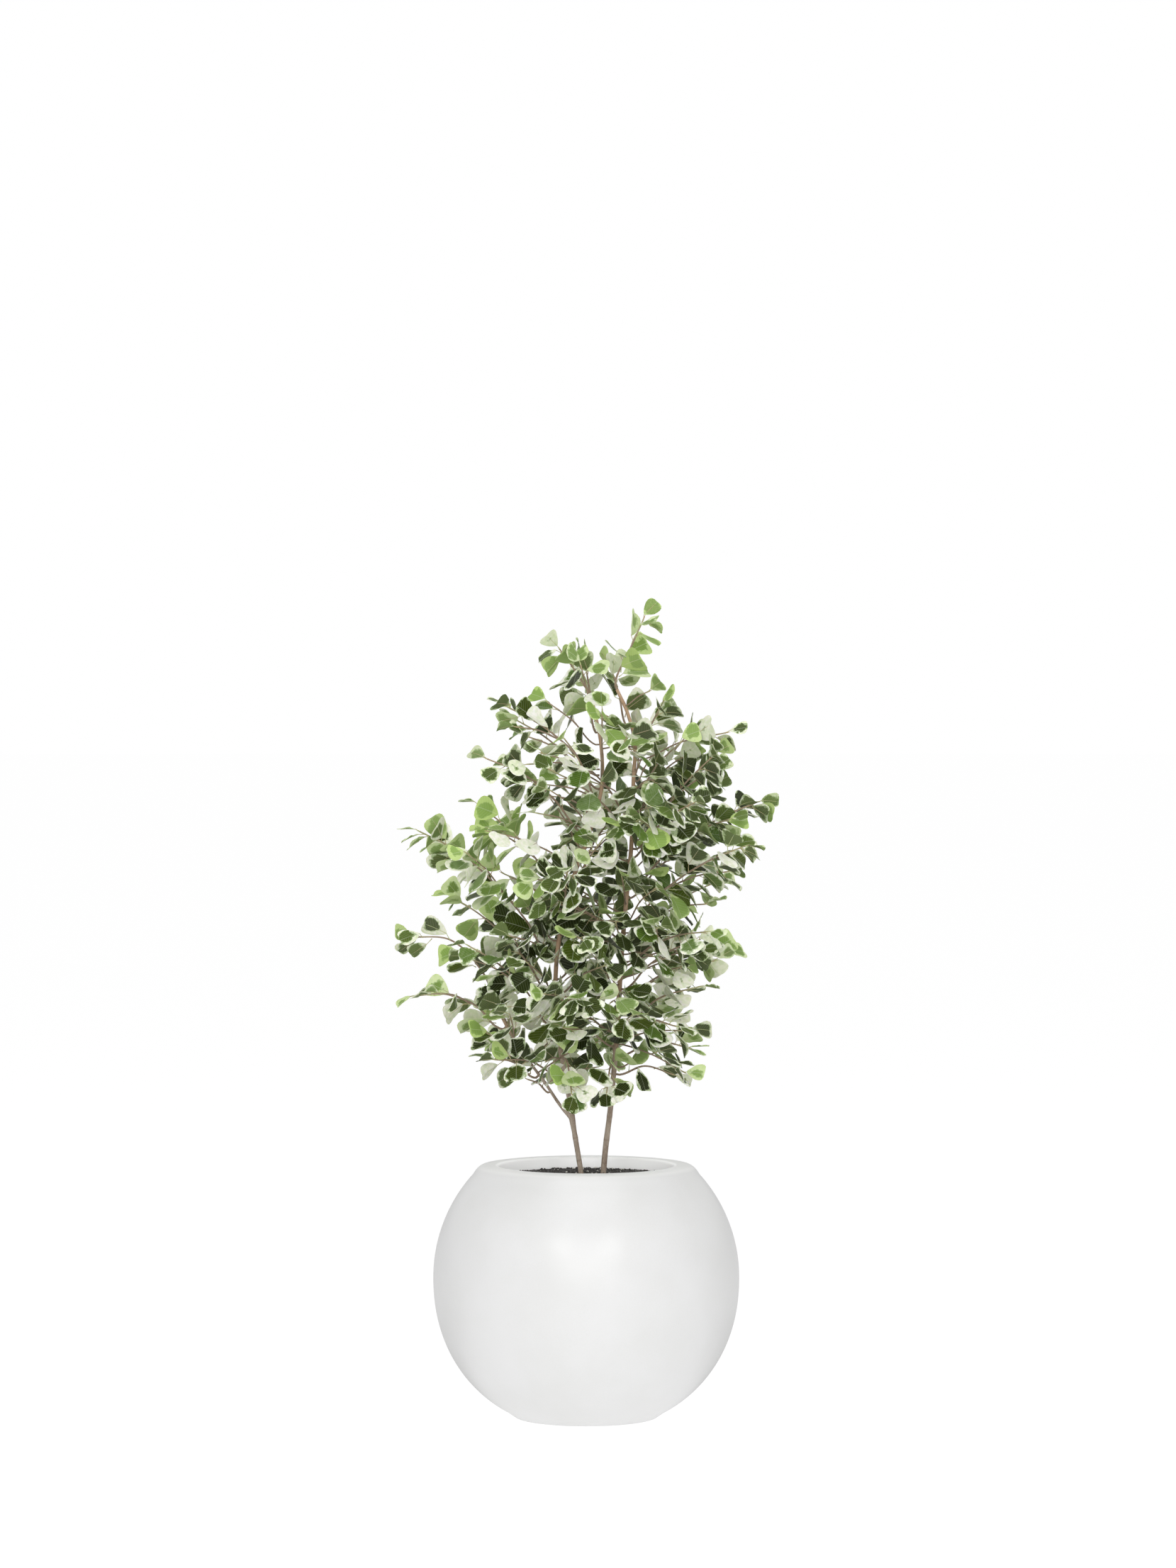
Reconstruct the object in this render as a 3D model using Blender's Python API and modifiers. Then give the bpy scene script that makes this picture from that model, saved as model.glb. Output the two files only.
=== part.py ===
# Triangle fig in a round white planter.
# The pot is a hollow globe with a turned-in rim. It is filled with potting soil, and two woody stems
# stand in holes in the soil. Leafy shoots grow from the stems, each one a twig with its leaves.
# The origin is the middle of the pot's flat base, +Z is up and the plant is seen from -Y.

import math
import random

import bmesh
import bpy
from mathutils import Quaternion, Vector
from mathutils.bvhtree import BVHTree

# Pot
POT_RADIUS = 0.250
POT_WIDEST_HEIGHT = 0.230
POT_BASE_RADIUS = 0.112
POT_BELLY_POWER = 2.15
POT_BELLY_FOOT = 0.012
POT_SHOULDER_TOP = 0.398
BELLY_POINTS, BELLY_EASE = 7, 1.6
SHOULDER_POINTS = 6
POT_WALL = 0.014
POT_FLOOR = 0.018
POT_STEPS = 40
CAVITY_HEIGHTS = (0.371, 0.310, 0.230, 0.120, 0.050)
RIM_HEIGHT = 0.4135
RIM_OUTER_RADIUS = 0.166
RIM_INNER_RADIUS = 0.1427
RIM_LIP_DEPTH = 0.030
RIM_ROUND = 0.004
RIM_SHOULDER_OUT, RIM_SHOULDER_DROP = 0.011, 0.0045

# Soil, which the stems stand in
SOIL_HEIGHT = 0.393
SOIL_CROWN = 0.003
SOIL_SLOPE_SHARES = (0.6, 0.7)
SOIL_STEPS = POT_STEPS // 2
GAP = 0.0003
HOLE_CLEARANCE = 0.0006
HOLE_SIDES = 16
HOLE_OVERRUN = 0.020

# Stems, each as the route of its axis from the cut end in the soil to its top
LEFT_STEM = (
    (0.002, 0.038, 0.305),
    (-0.008, 0.034, 0.393),
    (-0.017, 0.030, 0.450),
    (-0.023, 0.027, 0.486),
    (-0.034, 0.020, 0.559),
    (-0.043, 0.012, 0.603),
    (-0.048, 0.006, 0.645),
    (-0.050, -0.004, 0.720),
    (-0.042, -0.010, 0.800),
    (-0.022, -0.012, 0.880),
    (0.005, -0.006, 0.955),
    (0.025, 0.004, 1.030),
    (0.024, 0.010, 1.100),
    (0.010, 0.008, 1.170),
)
FORK = (
    (-0.0265, 0.0255, 0.4905),
    (-0.038, 0.022, 0.503),
    (-0.067, 0.014, 0.546),
    (-0.088, 0.008, 0.575),
    (-0.113, 0.000, 0.612),
    (-0.140, -0.006, 0.660),
    (-0.160, -0.004, 0.712),
)
RIGHT_STEM = (
    (0.020, 0.036, 0.300),
    (0.0277, 0.035, 0.393),
    (0.032, 0.034, 0.441),
    (0.039, 0.032, 0.497),
    (0.044, 0.030, 0.550),
    (0.049, 0.027, 0.607),
    (0.053, 0.024, 0.674),
    (0.058, 0.020, 0.760),
    (0.066, 0.016, 0.850),
    (0.074, 0.012, 0.940),
    (0.077, 0.006, 1.040),
    (0.079, 0.000, 1.105),
    (0.066, -0.004, 1.155),
    (0.050, -0.006, 1.190),
)
FORK_FOOT = LEFT_STEM[3]
LEFT_RADII = (0.0045, 0.0026)
FORK_RADII = (0.0026, 0.0018)
RIGHT_RADII = (0.0051, 0.0027)
STEM_BEVEL_RESOLUTION = 2

# Shoots that make the crown's outline: the stem, the height on it, the leafy tip and how far it arches
OUTLINE_SHOOTS = (
    ("fork", 0.640, (-0.314, -0.030, 0.703), 0.32),
    ("fork", 0.560, (-0.186, -0.080, 0.602), 0.20),
    ("fork", 0.532, (-0.120, 0.075, 0.560), 0.20),
    ("fork", 0.600, (-0.175, 0.130, 0.700), 0.15),
    ("fork", None, (-0.314, 0.035, 0.803), 0.45),
    ("left", 0.640, (-0.214, -0.110, 0.800), 0.20),
    ("left", 0.750, (-0.296, -0.060, 0.985), 0.26),
    ("left", 0.690, (-0.243, 0.080, 0.870), 0.20),
    ("left", 0.850, (-0.200, 0.070, 1.024), 0.15),
    ("left", 0.950, (-0.188, -0.070, 1.100), 0.25),
    ("left", 1.050, (-0.162, 0.030, 1.184), 0.15),
    ("left", 1.120, (-0.010, 0.060, 1.276), 0.05),
    ("left", None, (-0.062, -0.020, 1.286), 0.05),
    ("left", 0.590, (-0.018, -0.105, 0.520), 0.55),
    ("right", None, (0.106, 0.010, 1.338), 0.02),
    ("right", 1.130, (0.028, 0.055, 1.262), 0.10),
    ("right", 1.080, (0.140, -0.055, 1.200), 0.15),
    ("right", 0.990, (0.188, 0.080, 1.144), 0.15),
    ("right", 0.930, (0.234, -0.060, 1.114), 0.12),
    ("right", 0.870, (0.308, 0.030, 1.024), 0.15),
    ("right", 0.810, (0.286, -0.080, 0.956), 0.15),
    ("right", 0.770, (0.240, 0.100, 0.890), 0.15),
    ("right", 0.700, (0.206, -0.110, 0.803), 0.15),
    ("right", 0.680, (0.243, 0.050, 0.758), 0.20),
    ("right", 0.640, (0.214, -0.040, 0.722), 0.20),
    ("right", 0.620, (0.170, -0.100, 0.652), 0.30),
    ("right", 0.590, (0.202, 0.070, 0.604), 0.30),
    ("right", 0.560, (0.174, -0.020, 0.563), 0.30),
    ("right", 0.580, (0.028, -0.080, 0.520), 0.50),
)

# Shoots towards the front and the back, spread over the crown by a rule
FILL_SHOOTS = 23
FILL_TIPS = (0.585, 1.200)
FILL_FEET = (0.550, 1.060)
FILL_SWING = 62
FILL_SHARES = (1.0, 0.55, 0.85, 0.40)
FILL_ARCH = 0.15
CROSSING_SHARE = 0.6
CROWN_MIDDLE = Vector((0.010, 0.0, 0.880))
CROWN_REACH = 0.255
CROWN_HALF_HEIGHT = 0.480

# Twigs. A side twig starts at a share of its shoot's length and turns away by an angle in degrees
TWIG_RADIUS = 0.0019
TWIG_TIP_RADIUS = 0.0016
TWIG_CLEARANCE = 0.001
TWIG_POINT_STEP = 0.062
TWIG_BEND_SHARE = 0.45
SOCKET_LENGTH = 0.006
TIP_LEAF_REACH = 0.036
SIDE_TWIG_FROM = 0.160
SIDE_TWIG_START = (0.36, 0.48)
SIDE_TWIG_SHARE = 0.42
SIDE_TWIG_ANGLE = (38, 54)
SIDE_TWIG_LEVEL = 0.4
SIDE_TWIG_RISE = (-0.05, 0.25)
SIDE_TWIG_ARCH = 0.12
SIDE_TWIG_CLEAR_FROM = 0.2
TURN_STEP = 4
MOST_TURNS = 20

# Leaves. Corners are shares of the width, to each side, and of the length
LEAF_LENGTH, LEAF_WIDTH = 0.040, 0.043
LEAF_THICKNESS = 0.0008
LOW_CORNER = (0.50, 0.76)
FAR_CORNER = (0.29, 1.00)
PETIOLE_WIDTH = 0.0011
PETIOLE_LENGTH = (0.008, 0.015)
LEAF_STEP = 0.031
BARE_TWIG, BARE_SIDE_TWIG = 0.020, 0.018
YOUNG_LEAF = 0.72
YOUNG_LEAVES = 2
LOWEST_LEAF = 0.500

# How a leaf is drawn at random: angles in degrees, the rest as weights of unit directions
LEAF_TURN, LEAF_TURN_SPREAD = 145, 30
PETIOLE_SPREAD, TIP_PETIOLE_SPREAD = (42, 68), (8, 24)
PETIOLE_RISE = 0.15
BLADE_ALONG_PETIOLE = 0.60
BLADE_OUTWARD = 0.30
BLADE_HANG, TIP_BLADE_HANG = (-0.85, 0.10), (-0.35, 0.10)
BLADE_LOOSE = 0.25
SHARPEST_BEND, BEND_EASED = 0.15, 0.5
FACE_SWING = 75
FACE_OUTWARD, FACE_UP = (0.5, 1.1), (0.3, 0.9)
LENGTH_SPREAD, WIDTH_SPREAD = (0.90, 1.10), (0.92, 1.08)
FOLD, DROOP = (0.08, 0.34), (0.02, 0.20)

# Room that a leaf keeps to whatever isn't its own twig
LEAF_CLEARANCE = 0.0017
LEAF_MARGIN = 1.04
LEAF_TRIES = 10
NEIGHBOUR_REACH = 0.075
SEED = 37

POT_WHITE = (0.86, 0.86, 0.85)
SOIL_DARK = (0.045, 0.043, 0.042)
BARK_BROWN = (0.26, 0.19, 0.13)
LEAF_GREEN = (0.085, 0.150, 0.055)

UP = Vector((0, 0, 1))
GOLDEN_SHARE = (math.sqrt(5) - 1) / 2


def material(name, colour, roughness):
    made = bpy.data.materials.new(name)
    made.use_nodes = True
    shader = made.node_tree.nodes["Principled BSDF"]
    shader.inputs["Base Color"].default_value = (*colour, 1)
    shader.inputs["Roughness"].default_value = roughness
    shader.inputs["Metallic"].default_value = 0
    made.diffuse_color = (*colour, 1)
    return made


def collection(name):
    made = bpy.data.collections.new(name)
    bpy.context.scene.collection.children.link(made)
    return made


def mesh_object(name, vertices, edges, faces, home):
    mesh = bpy.data.meshes.new(name)
    mesh.from_pydata(vertices, edges, faces)
    made = bpy.data.objects.new(name, mesh)
    home.objects.link(made)
    return made


def turned(name, profile, steps, home):
    """A solid of revolution about Z, from a profile of (radius, height) that runs down its outer side."""
    points = [(radius, 0, height) for radius, height in profile]
    made = mesh_object(name, points, [(i, i + 1) for i in range(len(points) - 1)], [], home)
    screw = made.modifiers.new("Turn", "SCREW")
    screw.axis = "Z"
    screw.angle = 2 * math.pi
    screw.steps = screw.render_steps = steps
    screw.use_merge_vertices = True
    screw.merge_threshold = 0.0001
    screw.use_smooth_shade = True
    return made


def evaluated_mesh(source):
    bpy.context.view_layer.update()
    graph = bpy.context.evaluated_depsgraph_get()
    return bpy.data.meshes.new_from_object(source.evaluated_get(graph), depsgraph=graph)


def tube(name, points, radii, bevel_resolution, home, section=None):
    """A mesh tube through the points, round or with a given cross-section, whose caps are welded on."""
    curve = bpy.data.curves.new(name, "CURVE")
    curve.dimensions = "3D"
    curve.use_fill_caps = True
    curve.bevel_resolution = bevel_resolution
    if section is None:
        curve.bevel_depth = 1
    else:
        curve.bevel_mode = "OBJECT"
        curve.bevel_object = section
    spline = curve.splines.new("POLY")
    spline.points.add(len(points) - 1)
    for index, (spot, point) in enumerate(zip(spline.points, points)):
        share = index / (len(points) - 1)
        spot.co = (*point, 1)
        spot.radius = radii[0] + (radii[1] - radii[0]) * share
    guide = bpy.data.objects.new(name + "_guide", curve)
    home.objects.link(guide)
    mesh = evaluated_mesh(guide)
    welded = bmesh.new()
    welded.from_mesh(mesh)
    bmesh.ops.remove_doubles(welded, verts=welded.verts, dist=1e-6)
    bmesh.ops.recalc_face_normals(welded, faces=welded.faces)
    welded.to_mesh(mesh)
    welded.free()
    made = bpy.data.objects.new(name, mesh)
    made.matrix_world = guide.matrix_world
    home.objects.link(made)
    bpy.data.objects.remove(guide)
    return made


def joined(body, repeats):
    """Fuses every object of the collection with the body, then removes them."""
    union = body.modifiers.new("Fuse", "BOOLEAN")
    union.operation = "UNION"
    union.operand_type = "COLLECTION"
    union.collection = repeats
    union.solver = "EXACT"
    mesh = evaluated_mesh(body)
    body.modifiers.clear()
    body.data = mesh
    for piece in list(repeats.objects):
        bpy.data.objects.remove(piece)
    bpy.data.collections.remove(repeats)


def pot_outside(height):
    """The pot's outer radius: a squarer curve under the widest height, and a true sphere above it."""
    rise = abs(height - POT_WIDEST_HEIGHT) / POT_RADIUS
    power = POT_BELLY_POWER if height < POT_WIDEST_HEIGHT else 2
    return POT_RADIUS * (1 - rise**power) ** (1 / power)


def outer_profile(start, end, count, ease=1):
    """Points of the pot's outside from one height to another. An ease over 1 crowds them near the start."""
    shares = [(i / (count - 1)) ** ease for i in range(count)]
    return [(pot_outside(start + (end - start) * share), start + (end - start) * share) for share in shares]


def cavity(shrink):
    """The inside of the pot, from under its lip down to the floor's middle, as (radius, height)."""
    wall = [(pot_outside(height) - POT_WALL - shrink, height) for height in CAVITY_HEIGHTS]
    floor_radius = POT_BASE_RADIUS - POT_WALL / 2
    return [*wall, (floor_radius - shrink, POT_FLOOR + shrink), (0, POT_FLOOR + shrink)]


def make_pot(home):
    lip_foot = RIM_HEIGHT - RIM_LIP_DEPTH
    inside = [(RIM_INNER_RADIUS, RIM_HEIGHT - RIM_ROUND), (RIM_INNER_RADIUS, lip_foot), *cavity(0)]
    rim = [
        (RIM_INNER_RADIUS + RIM_ROUND, RIM_HEIGHT),
        (RIM_OUTER_RADIUS, RIM_HEIGHT),
        (RIM_OUTER_RADIUS + RIM_SHOULDER_OUT, RIM_HEIGHT - RIM_SHOULDER_DROP),
    ]
    shoulder = outer_profile(POT_SHOULDER_TOP, POT_WIDEST_HEIGHT, SHOULDER_POINTS)
    belly = outer_profile(POT_BELLY_FOOT, POT_WIDEST_HEIGHT, BELLY_POINTS, BELLY_EASE)[-2::-1]
    base = [(POT_BASE_RADIUS, 0), (0, 0)]
    made = turned("pot", [*inside[::-1], *rim, *shoulder, *belly, *base], POT_STEPS, home)
    made.data.materials.append(material("Matte white pot", POT_WHITE, 0.45))


def cut_stem_hole(soil, name, route, radius, cutters):
    """A plain round hole in the soil, a little wider than the stem that stands in it."""
    foot, mouth = Vector(route[0]), Vector(route[1])
    along = (mouth - foot).normalized()
    bottom, top = foot - along * GAP, mouth + along * HOLE_OVERRUN
    bpy.ops.mesh.primitive_cylinder_add(
        vertices=HOLE_SIDES, radius=radius + HOLE_CLEARANCE, depth=(top - bottom).length
    )
    hole = bpy.context.object
    hole.name = f"stem_hole_{name}"
    hole.location = (bottom + top) / 2
    hole.rotation_mode = "QUATERNION"
    hole.rotation_quaternion = UP.rotation_difference(along)
    hole.hide_render = True
    hole.display_type = "WIRE"
    for place in list(hole.users_collection):
        place.objects.unlink(hole)
    cutters.objects.link(hole)
    cut = soil.modifiers.new(f"Hole for {name} stem", "BOOLEAN")
    cut.operation = "DIFFERENCE"
    cut.object = hole


def make_soil(home, cutters):
    lip_foot = RIM_HEIGHT - RIM_LIP_DEPTH
    neck = RIM_INNER_RADIUS - GAP
    out, rise = SOIL_SLOPE_SHARES
    top = [(0, SOIL_HEIGHT + SOIL_CROWN), (neck * out, SOIL_HEIGHT + SOIL_CROWN * rise), (neck, SOIL_HEIGHT)]
    side = [(neck, lip_foot - GAP), *cavity(GAP)]
    made = turned("soil", [*top, *side], SOIL_STEPS, home)
    made.data.materials.append(material("Potting soil", SOIL_DARK, 0.95))
    cut_stem_hole(made, "left", LEFT_STEM, LEFT_RADII[0], cutters)
    cut_stem_hole(made, "right", RIGHT_STEM, RIGHT_RADII[0], cutters)


def make_stems(home):
    bark = material("Grey-brown bark", BARK_BROWN, 0.8)
    left = tube("stem_left", LEFT_STEM, LEFT_RADII, STEM_BEVEL_RESOLUTION, home)
    branch = collection("fork")
    tube("fork", [FORK_FOOT, *FORK], FORK_RADII, STEM_BEVEL_RESOLUTION, branch)
    joined(left, branch)
    right = tube("stem_right", RIGHT_STEM, RIGHT_RADII, STEM_BEVEL_RESOLUTION, home)
    for stem in (left, right):
        stem.data.materials.clear()
        stem.data.materials.append(bark)
        stem.data.shade_smooth()
        stem.data.set_sharp_from_angle(angle=math.radians(50))


class Stem:
    """A woody stem's axis, from which shoots grow."""

    def __init__(self, route, radii):
        self.route = [Vector(point) for point in route]
        self.radii = radii

    def radius(self, share):
        return self.radii[0] + (self.radii[1] - self.radii[0]) * share

    def at(self, height):
        """The axis point, its direction and the stem's radius at a height, or at the top for None."""
        last = len(self.route) - 1
        if height is not None:
            for index in range(last):
                low, high = self.route[index], self.route[index + 1]
                if low.z <= height <= high.z:
                    share = (height - low.z) / (high.z - low.z)
                    spot = low.lerp(high, share)
                    return spot, (high - low).normalized(), self.radius((index + share) / last)
        end, before = self.route[-1], self.route[-2]
        return end, (end - before).normalized(), self.radius(1)


STEMS = {
    "left": Stem(LEFT_STEM, LEFT_RADII),
    "fork": Stem(FORK, FORK_RADII),
    "right": Stem(RIGHT_STEM, RIGHT_RADII),
}


def fill_shoots():
    """Shoots towards the front and the back by turns, from the lowest to the highest."""
    made = []
    for index in range(FILL_SHOOTS):
        share = (index + 0.5) / FILL_SHOOTS
        tip_height = FILL_TIPS[0] + (FILL_TIPS[1] - FILL_TIPS[0]) * share
        foot = FILL_FEET[0] + (FILL_FEET[1] - FILL_FEET[0]) * share
        swing = math.radians(FILL_SWING * (2 * (index * GOLDEN_SHARE % 1) - 1))
        azimuth = swing + math.radians(-90 if index % 2 == 0 else 90)
        rise = (tip_height - CROWN_MIDDLE.z) / CROWN_HALF_HEIGHT
        fullness = FILL_SHARES[index // 2 % len(FILL_SHARES)]
        reach = CROWN_REACH * math.sqrt(1 - rise * rise) * fullness
        tip = CROWN_MIDDLE + Vector((math.cos(azimuth), math.sin(azimuth), 0)) * reach
        tip.z = tip_height
        near, far = ("left", "right") if tip.x < CROWN_MIDDLE.x else ("right", "left")
        stem = near if fullness > CROSSING_SHARE else far
        made.append((stem, foot, tuple(tip), FILL_ARCH))
    return made


def bezier(start, bend, end, share):
    return start.lerp(bend, share).lerp(bend.lerp(end, share), share)


def shoot_route(stem, height, tip, arch, turn):
    """The twig's points, from the face of the stem to just short of its leafy tip."""
    spot, along, radius = STEMS[stem].at(height)
    reach = Quaternion(UP, math.radians(turn)) @ (Vector(tip) - spot)
    if height is None:
        out = along
        foot = spot + along * GAP
    else:
        level = Vector((reach.x, reach.y, 0))
        out = (level - along * level.dot(along)).normalized()
        foot = spot + out * (radius + GAP)
    end = spot + reach * (1 - TIP_LEAF_REACH / reach.length)
    start = foot + out * SOCKET_LENGTH
    flat = Vector((end.x - start.x, end.y - start.y, 0))
    bend = start + flat * TWIG_BEND_SHARE + UP * ((end.z - start.z) / 2 + arch * flat.length)
    count = max(2, round((end - start).length / TWIG_POINT_STEP))
    return [foot, *(bezier(start, bend, end, i / count) for i in range(count + 1))]


def along_route(route, distance):
    """The place and the direction at a distance from the route's start."""
    for low, high in zip(route, route[1:]):
        length = (high - low).length
        if distance <= length:
            return low.lerp(high, distance / length), (high - low).normalized()
        distance -= length
    return route[-1], (route[-1] - route[-2]).normalized()


def route_length(route):
    return sum((high - low).length for low, high in zip(route, route[1:]))


def side_route(route, side, draw):
    """A side twig that leaves the shoot at an angle and lies about level."""
    whole = route_length(route)
    start, along = along_route(route, whole * draw.uniform(*SIDE_TWIG_START))
    out = Quaternion(UP, math.radians(side * draw.uniform(*SIDE_TWIG_ANGLE))) @ along
    out.z = out.z * SIDE_TWIG_LEVEL + draw.uniform(*SIDE_TWIG_RISE)
    length = whole * SIDE_TWIG_SHARE
    end = start + out.normalized() * length
    bend = (start + end) / 2 + UP * (length * SIDE_TWIG_ARCH)
    return [start, bezier(start, bend, end, 0.5), end]


def route_tree(route, radius):
    """A four-sided sleeve round the route, to test what comes too near it."""
    vertices, faces = [], []
    for low, high in zip(route, route[1:]):
        first = len(vertices)
        along = (high - low).normalized()
        across = along.orthogonal().normalized() * radius
        corners = (across, along.cross(across), -across, -along.cross(across))
        vertices += [end + corner for end in (low, high) for corner in corners]
        faces += [(first + i, first + (i + 1) % 4, first + 4 + (i + 1) % 4, first + 4 + i) for i in range(4)]
    return BVHTree.FromPolygons(vertices, faces)


def clear(tree, others):
    return not any(tree.overlap(other) for other in others)


def grow_shoot(stem, height, tip, arch, others):
    """The first route, turned a little further from its tip each time, whose twig clears the others."""
    own_stem = STEMS[stem]
    if height is not None:
        others = [*others, route_tree(own_stem.route, own_stem.radii[1])]
    for attempt in range(MOST_TURNS):
        turn = (attempt + 1) // 2 * TURN_STEP * (-1) ** attempt
        route = shoot_route(stem, height, tip, arch, turn)
        sleeve = route_tree(route[1:], TWIG_RADIUS + TWIG_CLEARANCE)
        if clear(sleeve, others):
            break
    return route, sleeve


def grow_side_twig(route, side, others, draw):
    """A side twig to one side or the other, with its sleeve, or None where there is no room for one."""
    for attempt in range(MOST_TURNS):
        side_twig = side_route(route, side * (-1) ** attempt, draw)
        past_shoot = [side_twig[0].lerp(side_twig[1], SIDE_TWIG_CLEAR_FROM), *side_twig[1:]]
        sleeve = route_tree(past_shoot, TWIG_RADIUS + TWIG_CLEARANCE)
        if clear(sleeve, others):
            return side_twig, sleeve
    return None


def place_twigs():
    """The routes of each shoot: its own twig first, then its side twig if it is long enough."""
    draw = random.Random(SEED)
    stems = {name: route_tree(stem.route, stem.radii[0] + TWIG_CLEARANCE) for name, stem in STEMS.items()}
    shoots, sleeves = [], []
    for index, (stem, height, tip, arch) in enumerate([*OUTLINE_SHOOTS, *fill_shoots()]):
        other_stems = [tree for name, tree in stems.items() if name != stem]
        route, sleeve = grow_shoot(stem, height, tip, arch, [*sleeves, *other_stems])
        routes = [route]
        if route_length(route) > SIDE_TWIG_FROM:
            grown = grow_side_twig(route, -1 if index % 2 else 1, [*sleeves, *stems.values()], draw)
            if grown:
                routes.append(grown[0])
                sleeves.append(grown[1])
        sleeves.append(sleeve)
        shoots.append(routes)
    return shoots


LEAF_FACES = ((0, 1, 2), (0, 2, 7), (2, 3, 4), (2, 4, 5), (2, 5, 7), (7, 5, 6))
BLADE_FACES = LEAF_FACES[2:]


def leaf_sheet(root, neck, blade, face, length, width, fold, droop):
    """The outline of a petiole and its blade: a broad triangle with cut corners, held at its narrow end."""
    across = blade.cross(face).normalized()
    half = across * (PETIOLE_WIDTH / 2)

    def corner(u, v):
        lift = fold * abs(u) * width - droop * v * v * length
        return neck + blade * (v * length) + across * (u * width) + face * lift

    (low_u, low_v), (far_u, far_v) = LOW_CORNER, FAR_CORNER
    right = [corner(low_u, low_v), corner(far_u, far_v)]
    left = [corner(-far_u, far_v), corner(-low_u, low_v)]
    return [root - half, root + half, neck + half, *right, *left, neck - half]


def leaf_tree(points, faces, face):
    """The leaf with its clearance on both sides, a little larger than it is, to test for crossings."""
    middle = sum(points[2:], Vector()) / len(points[2:])
    grown = [middle + (point - middle) * LEAF_MARGIN for point in points]
    vertices = [point + face * side * LEAF_CLEARANCE for side in (1, -1) for point in grown]
    both = [tuple(corner + step for corner in triangle) for step in (0, len(points)) for triangle in faces]
    return BVHTree.FromPolygons(vertices, both)


def blade_direction(draw, petiole, outward, hang):
    """Where a blade points: on from its petiole, outward from the crown, and hanging."""
    loose = Vector((draw.uniform(-1, 1), draw.uniform(-1, 1), 0)) * BLADE_LOOSE
    blade = petiole * BLADE_ALONG_PETIOLE + outward * BLADE_OUTWARD + UP * hang + loose
    if blade.normalized().dot(petiole) < SHARPEST_BEND:
        blade += petiole * BEND_EASED
    return blade.normalized()


def face_direction(draw, blade, outward):
    """Where a blade's upper side faces: square to the blade, mostly up and out of the crown."""
    swung = Quaternion(UP, math.radians(draw.uniform(-FACE_SWING, FACE_SWING))) @ outward
    facing = swung * draw.uniform(*FACE_OUTWARD) + UP * draw.uniform(*FACE_UP)
    return (facing - blade * facing.dot(blade)).normalized()


def draw_leaf(draw, root, along, turn, size, at_tip):
    """One try at a leaf: its outline points and the direction that its upper side faces."""
    outward = Vector((root.x - CROWN_MIDDLE.x, root.y - CROWN_MIDDLE.y, 0)).normalized()
    level = UP.cross(along).normalized()
    turned_by = math.radians(turn + draw.uniform(-LEAF_TURN_SPREAD, LEAF_TURN_SPREAD))
    aside = Quaternion(along, turned_by) @ level
    spread = math.radians(draw.uniform(*(TIP_PETIOLE_SPREAD if at_tip else PETIOLE_SPREAD)))
    petiole = along * math.cos(spread) + aside * math.sin(spread) + UP * PETIOLE_RISE
    petiole.normalize()
    hang = draw.uniform(*(TIP_BLADE_HANG if at_tip else BLADE_HANG))
    blade = blade_direction(draw, petiole, outward, hang)
    face = face_direction(draw, blade, outward)
    neck = root + petiole * (draw.uniform(*PETIOLE_LENGTH) * size)
    length = LEAF_LENGTH * size * draw.uniform(*LENGTH_SPREAD)
    width = LEAF_WIDTH * size * draw.uniform(*WIDTH_SPREAD)
    return leaf_sheet(root, neck, blade, face, length, width, draw.uniform(*FOLD), draw.uniform(*DROOP)), face


def leaf_places(route, bare, start_turn):
    """Where leaves grow along a twig, from its tip down: place, direction, turn round the twig and size."""
    whole = route_length(route)
    count = max(1, int((whole - bare) / LEAF_STEP) + 1)
    for index in range(count):
        place, along = along_route(route, whole - TWIG_TIP_RADIUS - index * LEAF_STEP)
        size = YOUNG_LEAF + (1 - YOUNG_LEAF) * min(1, index / YOUNG_LEAVES)
        yield place, along, start_turn + index * LEAF_TURN, size, index == 0


def grow_leaf(draw, place, own_twigs, others, placed):
    """The points of a leaf that crosses nothing, or None when every try fails."""
    for _ in range(LEAF_TRIES):
        points, face = draw_leaf(draw, *place)
        middle = sum(points, Vector()) / len(points)
        near = [tree for spot, tree in placed if (spot - middle).length < NEIGHBOUR_REACH]
        whole = leaf_tree(points, LEAF_FACES, face)
        if min(point.z for point in points) < LOWEST_LEAF or not clear(whole, [*near, *others]):
            continue
        if clear(leaf_tree(points, BLADE_FACES, face), own_twigs):
            placed.append((middle, whole))
            return points
    return None


def place_leaves(shoots):
    """The leaves of every shoot, none of which crosses a twig, a stem or another leaf."""
    draw = random.Random(SEED + 1)
    twigs = [[route_tree(route, TWIG_RADIUS) for route in routes] for routes in shoots]
    stems = [route_tree(stem.route, stem.radii[0]) for stem in STEMS.values()]
    placed, leaves = [], []
    for index, routes in enumerate(shoots):
        others = stems + [tree for number, trees in enumerate(twigs) if number != index for tree in trees]
        grown = []
        for route, bare in zip(routes, (BARE_TWIG, BARE_SIDE_TWIG)):
            for place in leaf_places(route, bare, draw.uniform(0, 360)):
                grown.append(grow_leaf(draw, place, twigs[index], others, placed))
        leaves.append([points for points in grown if points])
    return leaves


def twig_section(home):
    """The three-sided cross-section of a twig, one metre in radius, which each point's radius scales."""
    curve = bpy.data.curves.new("twig_section", "CURVE")
    curve.dimensions = "2D"
    spline = curve.splines.new("POLY")
    spline.points.add(2)
    for index, spot in enumerate(spline.points):
        angle = 2 * math.pi * index / 3
        spot.co = (math.cos(angle), math.sin(angle), 0, 1)
    spline.use_cyclic_u = True
    made = bpy.data.objects.new("twig_section", curve)
    made.hide_render = True
    home.objects.link(made)
    return made


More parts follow.
